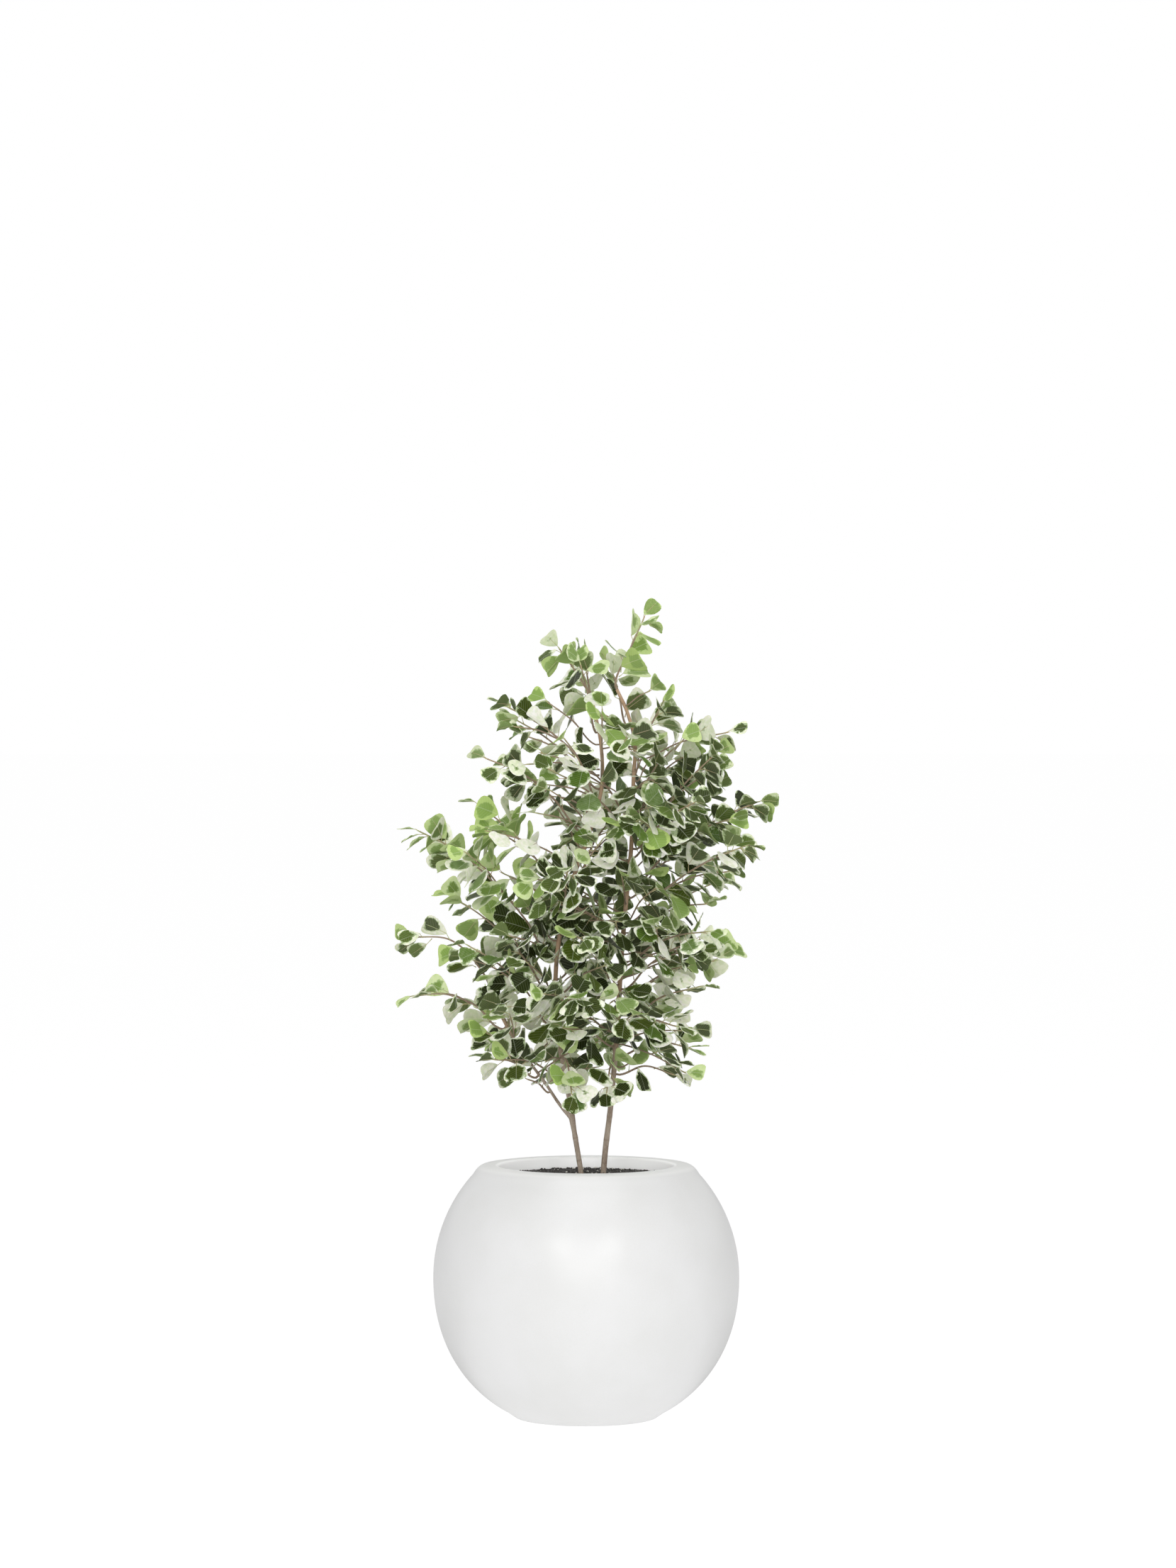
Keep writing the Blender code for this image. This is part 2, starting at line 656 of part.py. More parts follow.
def make_shoot(number, routes, leaves, section, green, home):
    """A twig, its side twig and its leaves, fused into one body."""
    name = f"leafy_shoot_{number:02d}"
    radii = (TWIG_RADIUS, TWIG_TIP_RADIUS)
    shoot = tube(name, routes[0], radii, 0, home, section)
    repeats = collection(name + "_repeats")
    for route in routes[1:]:
        tube("side_twig", route, (TWIG_TIP_RADIUS, TWIG_TIP_RADIUS), 0, repeats, section)
    for points in leaves:
        leaf = mesh_object("leaf", points, [], LEAF_FACES, repeats)
        blade = leaf.modifiers.new("Blade thickness", "SOLIDIFY")
        blade.thickness = LEAF_THICKNESS
        blade.offset = 0
    joined(shoot, repeats)
    shoot.data.materials.clear()
    shoot.data.materials.append(green)


def make_foliage(home, cutters):
    green = material("Fig leaf", LEAF_GREEN, 0.5)
    section = twig_section(cutters)
    shoots = place_twigs()
    leaves = place_leaves(shoots)
    for number, (routes, own_leaves) in enumerate(zip(shoots, leaves), start=1):
        make_shoot(number, routes, own_leaves, section, green, home)
    bpy.data.objects.remove(section)


def main():
    for thing in list(bpy.data.objects):
        bpy.data.objects.remove(thing)
    parts = collection("triangle_fig")
    cutters = collection("cutters")
    make_pot(parts)
    make_soil(parts, cutters)
    make_stems(parts)
    make_foliage(parts, cutters)


main()
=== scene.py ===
# Triangle fig in a round white pot, dressed for the studio.
# The order is the plant's own: pot, potting soil, stems, leafy shoots, and then the studio round it.

import math
import random

import bpy
import numpy as np
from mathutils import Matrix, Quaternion, Vector, noise
from mathutils.bvhtree import BVHTree


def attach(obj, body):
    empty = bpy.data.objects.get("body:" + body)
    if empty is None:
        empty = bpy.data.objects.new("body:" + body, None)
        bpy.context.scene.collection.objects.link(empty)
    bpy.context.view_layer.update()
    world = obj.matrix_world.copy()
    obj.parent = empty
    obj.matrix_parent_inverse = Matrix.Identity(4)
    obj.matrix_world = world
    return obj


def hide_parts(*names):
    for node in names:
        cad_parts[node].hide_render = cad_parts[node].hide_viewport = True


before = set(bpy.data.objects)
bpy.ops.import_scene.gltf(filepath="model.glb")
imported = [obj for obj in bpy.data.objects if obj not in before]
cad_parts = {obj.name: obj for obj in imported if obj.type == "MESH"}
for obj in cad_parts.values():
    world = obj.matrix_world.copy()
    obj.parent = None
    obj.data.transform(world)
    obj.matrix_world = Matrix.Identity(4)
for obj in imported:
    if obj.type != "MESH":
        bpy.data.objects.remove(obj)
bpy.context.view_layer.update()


# Pot
# A hollow globe of cast stone and resin, turned smooth, with a flat rim and a lip rolled down inside.
# It is sprayed with a matte white paint, which dulls a little where soil dust has dried on the lip.
# The rim's top is painted lighter and the inner lip near white: painted light against the shade that falls
# in the opening under the crown.

POT_RADIUS = 0.250
POT_WIDEST_HEIGHT = 0.230
POT_BASE_RADIUS = 0.112
POT_BELLY_POWER = 2.15
POT_WALL, POT_FLOOR = 0.014, 0.018
POT_STEPS = 144
INSIDE_LOW, INSIDE_TOP, INSIDE_POINTS = 0.050, 0.371, 24
RIM_HEIGHT = 0.4135
RIM_OUTER_RADIUS, RIM_INNER_RADIUS = 0.166, 0.1427
RIM_LIP_DEPTH, RIM_EDGE, LIP_BEND = 0.030, 0.004, (250, 180)
SHOULDER_TOP, SHOULDER_POINTS = 0.398, 9
SHOULDER_FALL, SHOULDER_SPREAD = 1.6, 0.75
OUTSIDE_LOW, OUTSIDE_POINTS = 0.010, 60
FOOT_WIDER, FOOT_RISE = 0.004, 0.0012
PAINT_WHITE, PAINT_SHADE = (219, 219, 219), (214, 214, 213)
# Painted light: the rim's top and the inner lip are painted lighter than the paint, against the shade there.
INNER_LIP_PAINTED_LIGHT, RIM_PAINTED_LIGHT = (253, 253, 253), (229, 229, 228)
PAINT_MOTTLING = (9.0, 420.0, 0.35)
PAINT_ROUGHNESS, PAINT_GLOSS = (0.31, 0.34), 0.56
ORANGE_PEEL = (0.0004, 0.12)
LIP_REACH, LIP_HEIGHTS, RIM_HEIGHTS = (RIM_INNER_RADIUS + 0.002, 0.150), (0.33, 0.36), (0.4060, 0.4120)
SOIL_DUST, DUST_SHARE, DUST_HEIGHTS = (172, 164, 152), 0.25, (0.3935, 0.3985)
MOTTLING_STEP, CLOUD_DETAIL, GRAIN_DETAIL, GRAIN_ROUGHNESS = (0.32, 0.68), 3.0, 5.0, 0.65


def screen_colour(red, green, blue):
    """A colour given in the 256 steps of a screen, as the linear values that the shaders take."""
    shares = [step / 255 for step in (red, green, blue)]
    return (*(((share + 0.055) / 1.055) ** 2.4 for share in shares), 1)


class Nodes:
    """Short ways to add nodes to a tree. Each gives the output that the next node links to."""

    def __init__(self, tree):
        self.tree = tree

    def feed(self, socket, value):
        """Gives an input a value, or another node's output to follow."""
        if isinstance(value, bpy.types.NodeSocket):
            self.tree.links.new(value, socket)
        else:
            socket.default_value = value

    def add(self, kind, inputs=None, **settings):
        made = self.tree.nodes.new(kind)
        for name, value in settings.items():
            setattr(made, name, value)
        for name, value in (inputs or {}).items():
            self.feed(made.inputs[name], value)
        return made

    def math(self, operation, first, second=0.0):
        return self.add("ShaderNodeMath", {0: first, 1: second}, operation=operation).outputs[0]

    def plus(self, first, second):
        return self.math("ADD", first, second)

    def minus(self, first, second):
        return self.math("SUBTRACT", first, second)

    def times(self, first, second):
        return self.math("MULTIPLY", first, second)

    def rest(self, share):
        return self.minus(1.0, share)

    def swing(self, value, amount):
        """How far a noise is from its middle value, times an amount."""
        return self.times(self.minus(value, 0.5), amount)

    def vector(self, operation, first, second=(0, 0, 0)):
        made = self.add("ShaderNodeVectorMath", {0: first, 1: second}, operation=operation)
        return made.outputs["Value" if operation in ("LENGTH", "DISTANCE") else "Vector"]

    def split(self, vector):
        return self.add("ShaderNodeSeparateXYZ", {0: vector}).outputs

    def ramp(self, value, low, high):
        """0 under the low value and 1 over the high one, with a soft step between."""
        made = self.add("ShaderNodeMapRange", {"Value": value, "From Min": low, "From Max": high})
        made.interpolation_type = "SMOOTHSTEP"
        return made.outputs[0]

    def spread(self, share, low, high):
        return self.add("ShaderNodeMapRange", {"Value": share, "To Min": low, "To Max": high}).outputs[0]

    def blend(self, share, first, second):
        """The colour that runs from the first to the second by a share."""
        made = self.add("ShaderNodeMix", data_type="RGBA")
        for number, value in ((0, share), (6, first), (7, second)):
            self.feed(made.inputs[number], screen_colour(*value) if isinstance(value, tuple) else value)
        return made.outputs[2]

    def attribute(self, name):
        return self.add("ShaderNodeAttribute", attribute_name=name).outputs

    def object_place(self):
        return self.add("ShaderNodeTexCoord").outputs["Object"]


def make_mottling():
    """Cloudy patches with finer grain over them, for whatever is cast, grown or dusty."""
    group = bpy.data.node_groups.new("Mottling", "ShaderNodeTree")
    group.interface.new_socket("Place", in_out="INPUT", socket_type="NodeSocketVector")
    for name in ("Patch Scale", "Grain Scale", "Grain Share"):
        group.interface.new_socket(name, in_out="INPUT", socket_type="NodeSocketFloat")
    for name in ("Mask", "Grain"):
        group.interface.new_socket(name, in_out="OUTPUT", socket_type="NodeSocketFloat")
    nodes = Nodes(group)
    given = nodes.add("NodeGroupInput").outputs
    patches = nodes.add("ShaderNodeTexNoise", {
        "Vector": given["Place"], "Scale": given["Patch Scale"], "Detail": CLOUD_DETAIL,
    }).outputs[0]
    grain = nodes.add("ShaderNodeTexNoise", {
        "Vector": given["Place"], "Scale": given["Grain Scale"], "Detail": GRAIN_DETAIL,
        "Roughness": GRAIN_ROUGHNESS,
    }).outputs[0]
    cloud = nodes.times(patches, nodes.rest(given["Grain Share"]))
    specks = nodes.times(grain, given["Grain Share"])
    mask = nodes.ramp(nodes.plus(cloud, specks), *MOTTLING_STEP)
    nodes.add("NodeGroupOutput", {"Mask": mask, "Grain": grain})
    return group


MOTTLING = make_mottling()


class Finish(Nodes):
    """A material in the making: its own tree and its shader."""

    def __init__(self, name):
        self.material = bpy.data.materials.new(name)
        self.material.use_nodes = True
        super().__init__(self.material.node_tree)
        self.shader = self.tree.nodes["Principled BSDF"].inputs

    def wears(self, name, value):
        """Sets one of the shader's own inputs, or links it."""
        self.feed(self.shader[name], value)

    def bump(self, height, distance, strength):
        made = self.add("ShaderNodeBump", {"Height": height, "Distance": distance, "Strength": strength})
        self.wears("Normal", made.outputs[0])

    def mottled(self, place, patch_scale, grain_scale, grain_share):
        """The mask and the grain of the mottling, with this finish's own values."""
        made = self.add("ShaderNodeGroup", {
            "Place": place, "Patch Scale": patch_scale,
            "Grain Scale": grain_scale, "Grain Share": grain_share,
        }, node_tree=MOTTLING)
        return made.outputs["Mask"], made.outputs["Grain"]


def pot_outside(height):
    """The pot's outer radius: a squarer curve under the widest height, and a true sphere above it."""
    rise = abs(height - POT_WIDEST_HEIGHT) / POT_RADIUS
    power = POT_BELLY_POWER if height < POT_WIDEST_HEIGHT else 2
    return POT_RADIUS * (1 - rise**power) ** (1 / power)


def spread_between(low, high, count):
    return [low + (high - low) * index / (count - 1) for index in range(count)]


def rounded_edge(middle, radius, start, end, count=5):
    """Points round an edge of a profile, as (radius, height), from one angle in degrees to another."""
    angles = [math.radians(angle) for angle in spread_between(start, end, count)]
    return [(middle[0] + radius * math.cos(a), middle[1] + radius * math.sin(a)) for a in angles]


def turned_piece(name, profile, steps):
    """A solid of revolution, from a profile of (radius, height) that runs down its outer side."""
    mesh = bpy.data.meshes.new(name)
    mesh.from_pydata([(radius, 0, height) for radius, height in profile],
                     [(index, index + 1) for index in range(len(profile) - 1)], [])
    made = bpy.data.objects.new(name, mesh)
    bpy.context.scene.collection.objects.link(made)
    screw = made.modifiers.new("Turn", "SCREW")
    screw.angle = 2 * math.pi
    screw.steps = screw.render_steps = steps
    screw.use_merge_vertices = True
    screw.merge_threshold = 0.0001
    screw.use_smooth_shade = True
    return made


def pot_profile():
    """Up the inside from the floor, over the lip and the rim, and down the outside to the foot."""
    floor = [(0, POT_FLOOR), (POT_BASE_RADIUS - POT_WALL / 2, POT_FLOOR)]
    inside = [(pot_outside(height) - POT_WALL, height)
              for height in spread_between(INSIDE_LOW, INSIDE_TOP, INSIDE_POINTS)]
    lip_foot = RIM_HEIGHT - RIM_LIP_DEPTH
    lip = rounded_edge((RIM_INNER_RADIUS + RIM_EDGE, lip_foot + RIM_EDGE), RIM_EDGE, *LIP_BEND)
    inner_edge = rounded_edge((RIM_INNER_RADIUS + RIM_EDGE, RIM_HEIGHT - RIM_EDGE), RIM_EDGE, 180, 90)
    shoulder = []
    for share in spread_between(0, 1, SHOULDER_POINTS):
        height = RIM_HEIGHT - (RIM_HEIGHT - SHOULDER_TOP) * share**SHOULDER_FALL
        radius = RIM_OUTER_RADIUS + (pot_outside(SHOULDER_TOP) - RIM_OUTER_RADIUS) * share**SHOULDER_SPREAD
        shoulder.append((radius, height))
    outside = [(pot_outside(height), height)
               for height in spread_between(SHOULDER_TOP, OUTSIDE_LOW, OUTSIDE_POINTS)[1:]]
    foot = [(POT_BASE_RADIUS + FOOT_WIDER, FOOT_RISE), (POT_BASE_RADIUS, 0), (0, 0)]
    return [*floor, *inside, *lip, *inner_edge, *shoulder, *outside, *foot]


def matte_paint():
    """Sprayed white: even, with faint clouds, a fine orange peel and dust on the lip above the soil, plus
    painted light: a lighter rim top and a near-white inner lip.
    """
    finish = Finish("Matte white paint")
    place = finish.object_place()
    mask, grain = finish.mottled(place, *PAINT_MOTTLING)
    height = finish.split(place)["Z"]
    reach = finish.vector("LENGTH", finish.vector("MULTIPLY", place, (1, 1, 0)))
    inner = finish.times(finish.rest(finish.ramp(reach, *LIP_REACH)), finish.ramp(height, *LIP_HEIGHTS))
    paint = finish.blend(mask, PAINT_SHADE, PAINT_WHITE)
    # Painted light: the rim's top lighter and the inner lip near white, against the shade that falls there.
    paint = finish.blend(finish.ramp(height, *RIM_HEIGHTS), paint, RIM_PAINTED_LIGHT)
    paint = finish.blend(inner, paint, INNER_LIP_PAINTED_LIGHT)
    dust = finish.times(finish.times(inner, finish.rest(finish.ramp(height, *DUST_HEIGHTS))), mask)
    finish.wears("Base Color", finish.blend(finish.times(dust, DUST_SHARE), paint, SOIL_DUST))
    finish.wears("Roughness", finish.spread(mask, *PAINT_ROUGHNESS))
    finish.wears("Specular IOR Level", PAINT_GLOSS)
    finish.bump(grain, *ORANGE_PEEL)
    return finish.material


pot = turned_piece("round_pot", pot_profile(), POT_STEPS)
pot.data.materials.append(matte_paint())
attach(pot, "root")
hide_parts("pot")


# Potting soil
# A dark peat mix that fills the pot to just under the rim, firmed down and a little higher in the
# middle. Crumbs of peat lie loose on it, with a few pale grains of perlite.

SOIL_HEIGHT, SOIL_CROWN = 0.3945, 0.0015
SOIL_GAP, SOIL_SIDE_GAP = 0.0004, 0.001
SOIL_SIDE_HEIGHTS = (0.371, 0.31, 0.23, 0.12, 0.05)
SOIL_RINGS, SOIL_SECTORS = 46, 120
SOIL_LUMPS, SOIL_LUMP_SCALE, SOIL_LUMP_START, SOIL_LUMP_SHAPE = 0.0009, 60, 3.7, (0.9, 2.2, 4)
SOIL_FADE, SOIL_SEED = 6, 11
LUMP_STRETCH = ((0.7, 1.25), (0.7, 1.1), (0.55, 0.95))
LUMP_DENTS, LUMP_SEAT, LUMP_MARGIN = (0.78, 1.18), 0.6, 1.4
LOOSE_LUMPS = (
    ("soil_crumbs", 520, (0.0010, 0.0021), 2, 0.1),
    ("soil_grit", 1700, (0.0006, 0.0011), 1, 0.1),
    ("perlite_grains", 95, (0.0008, 0.0021), 2, 0.2),
)
STEM_SPOTS = (Vector((-0.008, 0.034)), Vector((0.0277, 0.035)))
STEM_ROOM = 0.0075
SOIL_DARK, SOIL_LIGHT = (50, 48, 47), (84, 81, 78)
PEAT_MOTTLING, PEAT_RELIEF, PEAT_ROUGHNESS = (70.0, 640.0, 0.6), (0.0012, 0.7), (0.85, 1.0)
PERLITE_WHITE, PERLITE_GREY = (226, 224, 216), (188, 184, 174)
PERLITE_MOTTLING, PERLITE_RELIEF, PERLITE_ROUGHNESS = (260.0, 1400.0, 0.4), (0.0004, 0.5), 0.9


def new_piece(name, points, faces, finishes, slots=None):
    """A piece from points and faces, shaded smooth. Slots give each face's finish."""
    mesh = bpy.data.meshes.new(name)
    mesh.from_pydata([tuple(point) for point in points], [], faces)
    for finish in finishes:
        mesh.materials.append(finish)
    if slots is not None:
        mesh.polygons.foreach_set("material_index", slots)
    mesh.shade_smooth()
    made = bpy.data.objects.new(name, mesh)
    bpy.context.scene.collection.objects.link(made)
    return made


def fan_faces(middle, ring, sides):
    """Triangles from a middle point to a ring of points, given the ring's first point."""
    return [(middle, ring + i, ring + (i + 1) % sides) for i in range(sides)]


def band_faces(first, second, sides):
    """Four-sided faces between two rings of points, given the first point of each."""
    return [(first + i, second + i, second + (i + 1) % sides, first + (i + 1) % sides) for i in range(sides)]


def soil_top(x, y):
    """The soil's height at a place, with its lumps, which fade out at the pot's wall."""
    out = math.hypot(x, y) / RIM_INNER_RADIUS
    spot = Vector((x * SOIL_LUMP_SCALE, y * SOIL_LUMP_SCALE, SOIL_LUMP_START))
    lumps = noise.fractal(spot, *SOIL_LUMP_SHAPE) * SOIL_LUMPS
    slope = SOIL_CROWN * (1 - out * out)
    return SOIL_HEIGHT + slope + lumps * min(1, (1 - out) * SOIL_FADE)


def soil_body():
    """One closed body: the lumpy top as rings of points, and the smooth side that the pot shapes."""
    neck = RIM_INNER_RADIUS - SOIL_GAP
    inside = [(pot_outside(height) - POT_WALL - SOIL_SIDE_GAP, height) for height in SOIL_SIDE_HEIGHTS]
    bottom = POT_FLOOR + SOIL_SIDE_GAP
    floor_edge = POT_BASE_RADIUS - POT_WALL / 2 - SOIL_SIDE_GAP
    side = [(neck, RIM_HEIGHT - RIM_LIP_DEPTH), *inside, (floor_edge, bottom)]
    angles = [2 * math.pi * index / SOIL_SECTORS for index in range(SOIL_SECTORS)]
    points = [(0, 0, soil_top(0, 0))]
    for radius in [neck * (index + 1) / SOIL_RINGS for index in range(SOIL_RINGS)]:
        spots = [(radius * math.cos(angle), radius * math.sin(angle)) for angle in angles]
        points += [(x, y, soil_top(x, y)) for x, y in spots]
    for radius, height in side:
        points += [(radius * math.cos(angle), radius * math.sin(angle), height) for angle in angles]
    faces = fan_faces(0, 1, SOIL_SECTORS)
    rings = range(1, len(points), SOIL_SECTORS)
    for first, second in zip(rings, rings[1:]):
        faces += band_faces(first, second, SOIL_SECTORS)
    under = fan_faces(len(points), rings[-1], SOIL_SECTORS)
    points.append((0, 0, bottom))
    return points, faces + [(middle, after, before) for middle, before, after in under]


def lump_shape(level):
    """The points and faces of a ball, which each crumb or grain then bends its own way."""
    bpy.ops.mesh.primitive_ico_sphere_add(subdivisions=level, radius=1)
    ball = bpy.context.object
    points = np.array([tuple(vertex.co) for vertex in ball.data.vertices])
    faces = np.array([tuple(face.vertices) for face in ball.data.polygons])
    bpy.data.objects.remove(ball)
    return points, faces


def scattered_lumps(draw, count, sizes, level, sunk):
    """Irregular lumps on the soil, sunk by a share of their size, clear of both stems."""
    ball, ball_faces = lump_shape(level)
    points, faces = [], []
    for _ in range(count):
        size = draw.uniform(*sizes)
        out = (RIM_INNER_RADIUS - SOIL_GAP - size * LUMP_MARGIN) * math.sqrt(draw.random())
        angle = draw.uniform(0, 2 * math.pi)
        spot = Vector((out * math.cos(angle), out * math.sin(angle)))
        if min((spot - stem).length for stem in STEM_SPOTS) < STEM_ROOM + size:
            continue
        turn = np.array(Quaternion([draw.gauss(0, 1) for _ in range(4)]).normalized().to_matrix())
        stretch = np.array([draw.uniform(*limits) for limits in LUMP_STRETCH])
        rough = np.array([draw.uniform(*LUMP_DENTS) for _ in ball])[:, None]
        middle = np.array([spot.x, spot.y, soil_top(spot.x, spot.y) + size * (LUMP_SEAT - sunk)])
        faces += (ball_faces + len(points) * len(ball)).tolist()
        points.append(ball * rough * stretch @ turn.T * size + middle)
    return np.concatenate(points), faces


def mottled_finish(name, first, second, mottling, relief):
    """A finish that is mottled in two colours, with its grain."""
    finish = Finish(name)
    mask, grain = finish.mottled(finish.object_place(), *mottling)
    finish.wears("Base Color", finish.blend(mask, first, second))
    finish.bump(grain, *relief)
    return finish, grain


def peat():
    """Dark peat, paler where it has dried, rough at every scale."""
    finish, grain = mottled_finish("Dark potting soil", SOIL_DARK, SOIL_LIGHT, PEAT_MOTTLING, PEAT_RELIEF)
    finish.wears("Roughness", finish.spread(grain, *PEAT_ROUGHNESS))
    return finish.material


def perlite():
    """Puffed white mineral grains, dusted with soil."""
    finish, _ = mottled_finish("Perlite", PERLITE_GREY, PERLITE_WHITE, PERLITE_MOTTLING, PERLITE_RELIEF)
    finish.wears("Roughness", PERLITE_ROUGHNESS)
    return finish.material


peat_finish, perlite_finish = peat(), perlite()
soil = new_piece("potting_soil", *soil_body(), [peat_finish])
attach(soil, "root")
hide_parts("soil")
soil_draw = random.Random(SOIL_SEED)
for name, *lumps in LOOSE_LUMPS:
    finish = perlite_finish if name == "perlite_grains" else peat_finish
    loose = new_piece(name, *scattered_lumps(soil_draw, *lumps), [finish])
    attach(loose, "root")


# Stems
# Two woody stems stand in the soil, the left one with a thin fork low down. The bark is grey-brown
# and smooth, ringed where leaves once grew and dotted with pale pores; it turns warmer higher up.
# Up in the crown the bark is also painted lighter than it is, as painted light against the crown's shade.

LEFT_STEM = (
    (0.002, 0.038, 0.305), (-0.008, 0.034, 0.393), (-0.017, 0.030, 0.450), (-0.023, 0.027, 0.486),
    (-0.034, 0.020, 0.559), (-0.043, 0.012, 0.603), (-0.048, 0.006, 0.645), (-0.050, -0.004, 0.720),
    (-0.042, -0.010, 0.800), (-0.022, -0.012, 0.880), (0.005, -0.006, 0.955), (0.025, 0.004, 1.030),
    (0.024, 0.010, 1.100), (0.010, 0.008, 1.170),
)
FORK = (
    (-0.0265, 0.0255, 0.4905), (-0.038, 0.022, 0.503), (-0.067, 0.014, 0.546), (-0.088, 0.008, 0.575),
    (-0.113, 0.000, 0.612), (-0.140, -0.006, 0.660), (-0.160, -0.004, 0.712),
)
RIGHT_STEM = (
    (0.020, 0.036, 0.300), (0.0277, 0.035, 0.393), (0.032, 0.034, 0.441), (0.039, 0.032, 0.497),
    (0.044, 0.030, 0.550), (0.049, 0.027, 0.607), (0.053, 0.024, 0.674), (0.058, 0.020, 0.760),
    (0.066, 0.016, 0.850), (0.074, 0.012, 0.940), (0.077, 0.006, 1.040), (0.079, 0.000, 1.105),
    (0.066, -0.004, 1.155), (0.050, -0.006, 1.190),
)
FORK_FROM = 3
LEFT_RADII, FORK_RADII, RIGHT_RADII = (0.0045, 0.0026), (0.0026, 0.0018), (0.0051, 0.0027)
STEM_SIDES, STEM_RING_STEP = 14, 0.006
SCAR_STEP, SCAR_HEIGHT, SCAR_WIDTH = 0.038, 0.00045, 0.0022
COLLAR_REACH, COLLAR_SWELL = 0.016, 0.55
FORK_REACH, FORK_SWELL = 0.012, 0.22
UNEVEN_SCALE, UNEVEN_SHARE = 40, 0.05
BARK_GREY, BARK_BROWN = (184, 170, 154), (134, 115, 99)
BARK_DRAWN_OUT, BARK_MOTTLING = (1, 1, 0.22), (110.0, 900.0, 0.5)
BARK_ROUGHNESS, BARK_RELIEF = (0.62, 0.82), (0.0005, 0.5)
# Higher up the bark is warmer and also painted lighter there: partly its own tint, partly painted light
# against the crown's shade.
BARK_WARM_LIGHTENED, WARM_LIGHTENED_HEIGHTS, WARM_LIGHTENED_SHARE = (196, 154, 116), (0.55, 0.70), 0.55
PORE_PALE, PORE_SCALE, PORE_EDGE, PORE_SHARE = (190, 176, 154), 620.0, (0.16, 0.30), 0.5
SCAR_EDGE, SCAR_SHARE = (0.0006, 0.0022), 0.4
UP = Vector((0, 0, 1))


class Draft:
    """Points and faces gathered for one piece, with what its finishes read at each point."""

    def __init__(self):
        self.points, self.places, self.traits, self.faces, self.slots = [], [], [], [], []
        self.count = 0

    def add(self, points, places, traits, faces, slot):
        """Points as rows, place and traits as rows of four, faces counted from the first point."""
        self.points.append(points)
        self.places.append(places)
        self.traits.append(np.broadcast_to(traits, (len(points), 4)))
        self.faces += [tuple(corner + self.count for corner in face) for face in faces]
        self.slots += [slot] * len(faces)
        self.count += len(points)

    def piece(self, name, finishes):
        made = new_piece(name, np.concatenate(self.points), self.faces, finishes, self.slots)
        for label, rows in (("place", self.places), ("traits", self.traits)):
            layer = made.data.attributes.new(label, "FLOAT_COLOR", "POINT")
            layer.data.foreach_set("color", np.concatenate(rows).astype(np.float32).ravel())
        return made


def smooth_point(route, index, share):
    """A place on the smooth curve through the route's points, between one point and the next."""
    low, high = route[index], route[index + 1]
    before = route[index - 1] if index else low - (high - low)
    after = route[index + 2] if index + 2 < len(route) else high + (high - low)
    length = (high - low).length
    leave = ((low - before).normalized() + (high - low).normalized()).normalized() * length
    arrive = ((high - low).normalized() + (after - high).normalized()).normalized() * length
    square, cube = share * share, share**3
    return (low * (2 * cube - 3 * square + 1) + leave * (cube - 2 * square + share)
            + high * (3 * square - 2 * cube) + arrive * (cube - square))


def smooth_route(route, step):
    """Points along the smooth curve, about a step apart."""
    points = []
    for index in range(len(route) - 1):
        count = max(1, round((route[index + 1] - route[index]).length / step))
        points += [smooth_point(route, index, part / count) for part in range(count)]
    return [*points, route[-1]]


def add_tube(draft, points, radii, sides, place, traits, slot):
    """A closed tube of the given radii whose rings don't twist. Place runs along and round it."""
    count = len(points)
    along = [(points[min(i + 1, count - 1)] - points[max(i - 1, 0)]).normalized() for i in range(count)]
    across = along[0].orthogonal().normalized()
    rows, places = [], []
    travelled = 0.0
    for index, (point, heading) in enumerate(zip(points, along)):
        across = (across - heading * across.dot(heading)).normalized()
        beside = heading.cross(across)
        if index:
            travelled += (point - points[index - 1]).length
        for side in range(sides):
            angle = 2 * math.pi * side / sides
            offset = across * math.cos(angle) + beside * math.sin(angle)
            rows.append(point + offset * radii[index])
            places.append((travelled, side / sides, index / (count - 1), place))
    faces = [(ring * sides + side, ring * sides + (side + 1) % sides,
              (ring + 1) * sides + (side + 1) % sides, (ring + 1) * sides + side)
             for ring in range(count - 1) for side in range(sides)]
    faces.append(tuple(range(sides - 1, -1, -1)))
    faces.append(tuple(range((count - 1) * sides, count * sides)))
    draft.add(np.array(rows), np.array(places), traits, faces, slot)


def hump(distance, width):
    """1 at no distance, and next to nothing at two or three widths."""
    return math.exp(-((distance / width) ** 2))


def stem_radii(points, radii, swell_at=(), collar=False):
    """A stem's taper with its leaf-scar rings, a slight unevenness, and swellings where it forks."""
    made = []
    travelled = 0.0
    for index, point in enumerate(points):
        if index:
            travelled += (point - points[index - 1]).length
        share = index / (len(points) - 1)
        radius = radii[0] + (radii[1] - radii[0]) * share
        from_scar = (travelled + SCAR_STEP / 2) % SCAR_STEP - SCAR_STEP / 2
        radius += SCAR_HEIGHT * hump(from_scar, SCAR_WIDTH)
        radius *= 1 + UNEVEN_SHARE * noise.noise(point * UNEVEN_SCALE)
        for spot in swell_at:
            radius *= 1 + FORK_SWELL * hump((point - spot).length, FORK_REACH)
        if collar:
            radius *= 1 + COLLAR_SWELL * hump(travelled, COLLAR_REACH)
        made.append(radius)
    return made


def add_stem(draft, route, radii, swell_at=(), collar=False):
    points = smooth_route([Vector(point) for point in route], STEM_RING_STEP)
    add_tube(draft, points, stem_radii(points, radii, swell_at, collar), STEM_SIDES, 1.0, (1, 0, 0, 0), 0)


